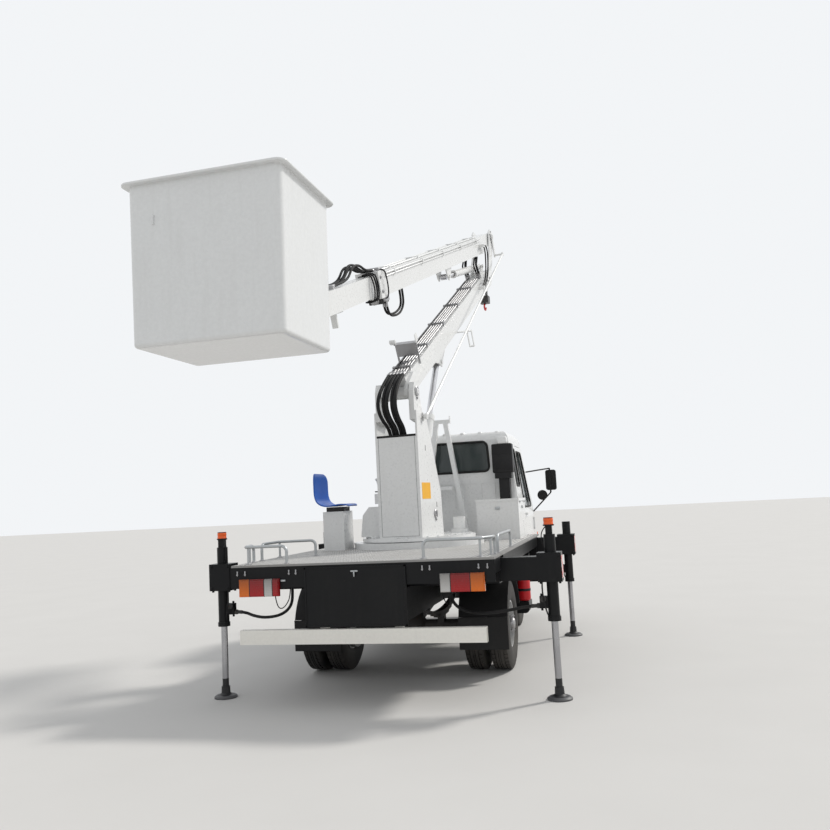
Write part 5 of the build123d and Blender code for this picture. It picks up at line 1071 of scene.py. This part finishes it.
def tread_mark(at, turn, sizes):
    """One raised mark of tread plate: a low block with a narrower top."""
    obj = block((-0.5, -0.5, 0.0), (0.5, 0.5, 1.0), 0)
    for vertex in obj.data.vertices:
        if vertex.co.z > 0.5:
            vertex.co.x *= 0.7
            vertex.co.y *= 0.45
    size = Matrix.Diagonal((sizes.mark, sizes.mark * 0.3, sizes.mark_rise, 1.0))
    obj.data.transform(Matrix.Translation(at) @ Matrix.Rotation(math.radians(turn), 4, "Z") @ size)
    return obj


DECK_REAR = -1.511
RAIL_FEET = (
    (0.5, -1.448), (0.931, -1.434), (0.988, -1.286), (1.002, -1.18), (1.002, -1.02), (1.002, -0.25),
    (-0.6, -1.448), (-0.931, -1.434), (-0.988, -1.286), (-1.002, -1.18), (-1.002, -1.02), (-1.002, -0.64),
    (-0.68, -0.6),
)


class TRUCK_OT_deck_fittings(bpy.types.Operator):
    """Add the deck's tread, bolts, rail feet, latches, cables and the fire extinguisher"""

    bl_idname = "truck.deck_fittings"
    bl_label = "Deck Fittings"

    def execute(self, context):
        bolts = []
        for x in (-0.99, -0.925, -0.558, -0.501, 0.501, 0.558, 0.925, 0.99):
            y = DECK_REAR - 0.005
            bolts.append(rod(truck(x, y, 1.012), truck(x, y, 1.05), 0.0055, 12, 0.001))
            bolts.append(rod(truck(x, y - 0.001, 1.018), truck(x, y - 0.001, 1.026), 0.0095, 6, 0.0008))
        foot = ((0.0, 0.026), (0.005, 0.026), (0.007, 0.016), (0.014, 0.0135))
        bolts += [turned(foot, truck(x, y, 1.0925), UP, 24) for x, y in RAIL_FEET]
        ready(bolts, "deck_edge_bolts", "bare_steel", "chassis")
        self.treads(context.scene.truck_sizes)
        y = DECK_REAR
        latch = [
            slab(truck, (-0.628, y - 0.01, 0.962), (-0.588, y, 0.976), 0.002),
            slab(truck, (-0.052, y - 0.026, 1.02), (0.004, y - 0.014, 1.032), 0.002),
            rod(truck(-0.024, y - 0.03, 0.985), truck(-0.024, y - 0.03, 1.026), 0.006),
        ]
        ready(latch, "panel_latches", "galvanised", "chassis")
        edges = ((-0.43, 1.048, 0.374, 1.062), (-0.43, 0.612, 0.374, 0.626), (-0.43, 0.612, -0.416, 1.062),
                 (0.36, 0.612, 0.374, 1.062))
        strips = [slab(truck, (x0, y - 0.018, z0), (x1, y - 0.014, z1), 0.001) for x0, z0, x1, z1 in edges]
        ready(strips, "panel_frame", "black_paint", "chassis")
        for name, side in SIDES:
            route = [truck(side * x, y, z) for x, y, z in (
                (0.69, -1.49, 0.87), (0.69, -1.47, 0.8), (0.68, -1.43, 0.74), (0.64, -1.4, 0.76),
                (0.6, -1.38, 0.85), (0.6, -1.38, 1.07))]
            hose(f"lamp_cable_{name}", route, 0.008, "chassis")
        tank = turned(
            ((0.0, 0.03), (0.006, 0.058), (0.03, 0.066), (0.19, 0.066), (0.215, 0.058), (0.235, 0.03), (0.25, 0.018),
             (0.275, 0.018)), truck(0.955, 0.9, 0.482), UP)
        ready(tank, "fire_extinguisher", "hook_red", "chassis")
        handle = [
            slab(truck, (0.94, 0.86, 0.745), (0.97, 0.95, 0.757)),
            slab(truck, (0.945, 0.87, 0.765), (0.965, 0.97, 0.772)),
            rod(truck(0.955, 0.9, 0.735), truck(0.955, 0.9, 0.765), 0.012),
            turned(((0.0, 0.0665), (0.004, 0.0685), (0.022, 0.0685), (0.026, 0.0665)), truck(0.955, 0.9, 0.58), UP),
        ]
        ready(handle, "extinguisher_handle", "black_plastic", "chassis")
        hinges = [rod(truck(0.951, y - 0.03, 1.47), truck(0.951, y + 0.03, 1.47), 0.007, 12, 0.001)
                  for y in (1.1, 1.49)]
        hinges.append(slab(truck, (0.942, 1.27, 1.4), (0.952, 1.33, 1.43), 0.002))
        hinges.append(slab(truck, (0.7, 0.98, 1.4), (0.75, 0.99, 1.43), 0.002))
        ready(hinges, "cabinet_hinges", "galvanised", "chassis")
        return {"FINISHED"}

    def treads(self, sizes):
        """Raised marks of the deck's tread plate, in turned pairs."""
        low, high = corners("deck_plate")
        pitch = sizes.mark_pitch
        first = Vector((low.x + pitch * 0.72, low.y + pitch * 0.72, high.z - 0.0003))
        obj = joined([tread_mark(first + Vector((pitch * i, pitch * j, 0)), 45 if (i + j) % 2 else -45, sizes)
                      for i in range(2) for j in range(2)])
        for k, step in enumerate(((2 * pitch, 0, 0), (0, 2 * pitch, 0))):
            count = int((high[k] - low[k] - pitch * 0.9) / (2 * pitch))
            applied(obj, "ARRAY", count=count, use_relative_offset=False, use_constant_offset=True,
                    constant_offset_displace=step)
        ready(obj, "deck_tread_marks", "chequer_plate", "chassis", 20.0)


CAB_FRONT_Y = 3.59
CAB_REAR_Y = 1.955
DOOR_WINDOW = ((2.49, 1.4), (2.49, 2.07), (2.925, 2.07), (3.205, 1.4))
QUARTER_WINDOW = ((2.06, 1.65), (2.06, 2.09), (2.35, 2.09), (2.35, 1.65))
WINDSCREEN = ((-0.7, 1.4), (0.7, 1.4), (0.61, 2.17), (-0.61, 2.17))
REAR_WINDOW = ((-0.52, 1.835), (0.52, 1.835), (0.505, 2.18), (-0.505, 2.18))


def windscreen_point(x, z):
    """Point on the sloping front of the cab."""
    return truck(x, CAB_FRONT_Y - 0.12 - (z - 1.33) * 0.401 + 0.001, z)


def rear_point(x, z):
    return truck(x, CAB_REAR_Y - 0.001, z)


class TRUCK_OT_cab_fittings(bpy.types.Operator):
    """Add window rubbers, wipers, roof bosses, lamps and the air intake's wide top to the cab"""

    bl_idname = "truck.cab_fittings"
    bl_label = "Cab Fittings"

    def execute(self, context):
        for name, side in SIDES:

            def wall(y, z):
                return truck(side * (0.849 - (z - 1.29) * 0.1044), y, z)

            body = f"door_{name}"
            ready(bead(DOOR_WINDOW, 0.05, 0.011, wall), f"window_rubber_{body}", "seal_rubber", body)
            quarter = bead(QUARTER_WINDOW, 0.04, 0.01, wall)
            ready(quarter, f"window_rubber_quarter_{name}", "seal_rubber", "cab")
            lamp = block(wall(3.36, 1.02), wall(3.42, 1.06) + Vector((side * 0.012, 0, 0)), 0.004)
            ready(lamp, f"side_repeater_{name}", "amber_lens", "cab")
        ready(bead(WINDSCREEN, 0.06, 0.013, windscreen_point), "window_rubber_front", "seal_rubber", "cab")
        ready(bead(REAR_WINDOW, 0.06, 0.013, rear_point), "window_rubber_rear", "seal_rubber", "cab")
        wipers = []
        out = Vector((0, 0.93, 0.37)) * 0.022
        for x in (-0.42, 0.16):
            root, tip = windscreen_point(x, 1.375), windscreen_point(x + 0.36, 1.62)
            blade = [windscreen_point(x + more, z) + out * 0.6 for more, z in ((0.1, 1.62), (0.56, 1.66))]
            wipers += [rod(root, root + out * 1.2, 0.014, 16), rod(root + out, tip + out, 0.006, 12, 0.001),
                       rod(*blade, 0.007, 12, 0.001)]
        ready(wipers, "wipers", "black_plastic", "cab")
        boss = ((0.0, 0.03), (0.008, 0.029), (0.018, 0.022), (0.024, 0.01))
        bosses = [turned(boss, truck(x, 2.035, 2.288 - abs(x) * 0.02), (0, -0.12, 1.0), 20)
                  for x in (-0.62, -0.42, -0.21, 0.0, 0.21, 0.42, 0.62)]
        ready(bosses, "roof_bosses", "white_paint", "cab")
        glass = ((0.0, 0.062), (0.006, 0.066), (0.012, 0.06), (0.016, 0.04))
        lamps = [turned(glass, truck(x, CAB_FRONT_Y + 0.01, 0.86), (0, 1, 0), 32) for x in (-0.716, 0.716)]
        ready(lamps, "headlamp_glasses", "rim_silver", "cab")
        shell = [
            slab(truck, (0.577, 1.793, 1.8), (0.812, 1.933, 2.134), 0.018, 3),
            slab(truck, (0.59, 1.789, 1.84), (0.799, 1.794, 2.0), 0.002),
        ]
        ready(shell, "intake_shell", "black_plastic", "cab")
        hood = slab(truck, (0.64, 1.8, 2.128), (0.755, 1.925, 2.215), 0.022, 4)
        ready(hood, "intake_hood", "white_paint", "cab")
        return {"FINISHED"}


class TRUCK_OT_bucket_fittings(bpy.types.Operator):
    """Add the bucket's drain slot"""

    bl_idname = "truck.bucket_fittings"
    bl_label = "Bucket Fittings"

    def execute(self, context):
        low, high = corners("bucket")
        turn = math.radians(-1.3)
        face = Matrix.Translation(((low.x + high.x) / 2, low.y, high.z)) @ Matrix.Rotation(turn, 4, "Z")
        slot = block((-0.372, 0.046, -0.3), (-0.36, 0.07, -0.235), 0.002)
        slot.data.transform(face)
        ready(slot, "bucket_slot", "fibreglass", "bucket")
        return {"FINISHED"}


class TRUCK_OT_stage(bpy.types.Operator):
    """Set the floor, backdrop, light and camera"""

    bl_idname = "truck.stage"
    bl_label = "Stage"

    def execute(self, context):
        stage = context.scene.truck_stage
        start()
        bpy.ops.mesh.primitive_plane_add(size=160.0, location=(0, 0, -0.001))
        floor = settled(bpy.context.object)
        floor.name = "floor"
        g = Finish("pale floor")
        tone = g.mix(g.noise(g.where(), 1.2, 4.0), (0.6, 0.59, 0.575, 1), (0.64, 0.63, 0.615, 1))
        floor.data.materials.append(g.done(tone, 0.9))
        world = bpy.data.worlds.new("pale sky")
        world.use_nodes = True
        context.scene.world = world
        g = Graph(world.node_tree)
        rays = g.add("ShaderNodeLightPath").outputs
        seen = g.math("MAXIMUM", rays["Is Glossy Ray"], rays["Is Transmission Ray"])
        seen = g.math("MAXIMUM", rays["Is Camera Ray"], seen)
        strength = g.ranged(seen, 0.0, 1.0, stage.sky, 0.93)
        g.fill(world.node_tree.nodes["Background"], {"Strength": strength, "Color": (0.96, 0.98, 1.0, 1)})
        bpy.ops.object.light_add(type="SUN", rotation=(math.radians(50), 0, math.radians(132)))
        key = bpy.context.object
        key.name = "key light"
        key.data.energy = stage.sun
        key.data.angle = math.radians(7)
        key.data.color = (1.0, 0.97, 0.92)
        start()
        data = bpy.data.cameras.new("camera")
        data.lens = stage.lens
        data.sensor_width = 36.0
        data.clip_end = 400.0
        camera = linked("camera", data)
        place = Matrix.Translation(truck(*stage.eye))
        for turn, axis in ((stage.heading, "Z"), (math.pi / 2 + stage.pitch, "X"), (stage.roll, "Z")):
            place = place @ Matrix.Rotation(turn, 4, axis)
        camera.matrix_world = place
        context.scene.camera = camera
        context.scene.view_settings.view_transform = "Standard"
        return {"FINISHED"}


class TRUCK_PT_panel(bpy.types.Panel):
    """Lists the truck's sizes, colours and steps"""

    bl_label = "Cherry Picker Truck"
    bl_idname = "TRUCK_PT_panel"
    bl_space_type = "VIEW_3D"
    bl_region_type = "UI"
    bl_category = "Truck"

    def draw(self, context):
        for name, kind in SETTINGS.items():
            for key in kind.__annotations__:
                self.layout.prop(getattr(context.scene, name), key)
        for step in STEPS:
            self.layout.operator(step.bl_idname)


STEPS = (
    TRUCK_OT_finishes, TRUCK_OT_stage, TRUCK_OT_turret_hoses, TRUCK_OT_elbow_hoses, TRUCK_OT_outrigger_fittings,
    TRUCK_OT_boom_fittings, TRUCK_OT_deck_fittings, TRUCK_OT_turret_fittings, TRUCK_OT_cab_fittings,
    TRUCK_OT_bucket_fittings, TRUCK_OT_tyres, TRUCK_OT_wheel_nuts,
)
SETTINGS = {"truck_colours": TruckColours, "truck_sizes": TruckSizes, "truck_stage": TruckStage}
CLASSES = (*SETTINGS.values(), *STEPS, TRUCK_PT_panel)


def register():
    for item in CLASSES:
        bpy.utils.register_class(item)
    for name, kind in SETTINGS.items():
        setattr(bpy.types.Scene, name, PointerProperty(type=kind))


def unregister():
    for name in SETTINGS:
        delattr(bpy.types.Scene, name)
    for item in reversed(CLASSES):
        bpy.utils.unregister_class(item)


def main():
    register()
    for step in STEPS:
        area, name = step.bl_idname.split(".")
        getattr(getattr(bpy.ops, area), name)()


if __name__ == "__main__":
    main()
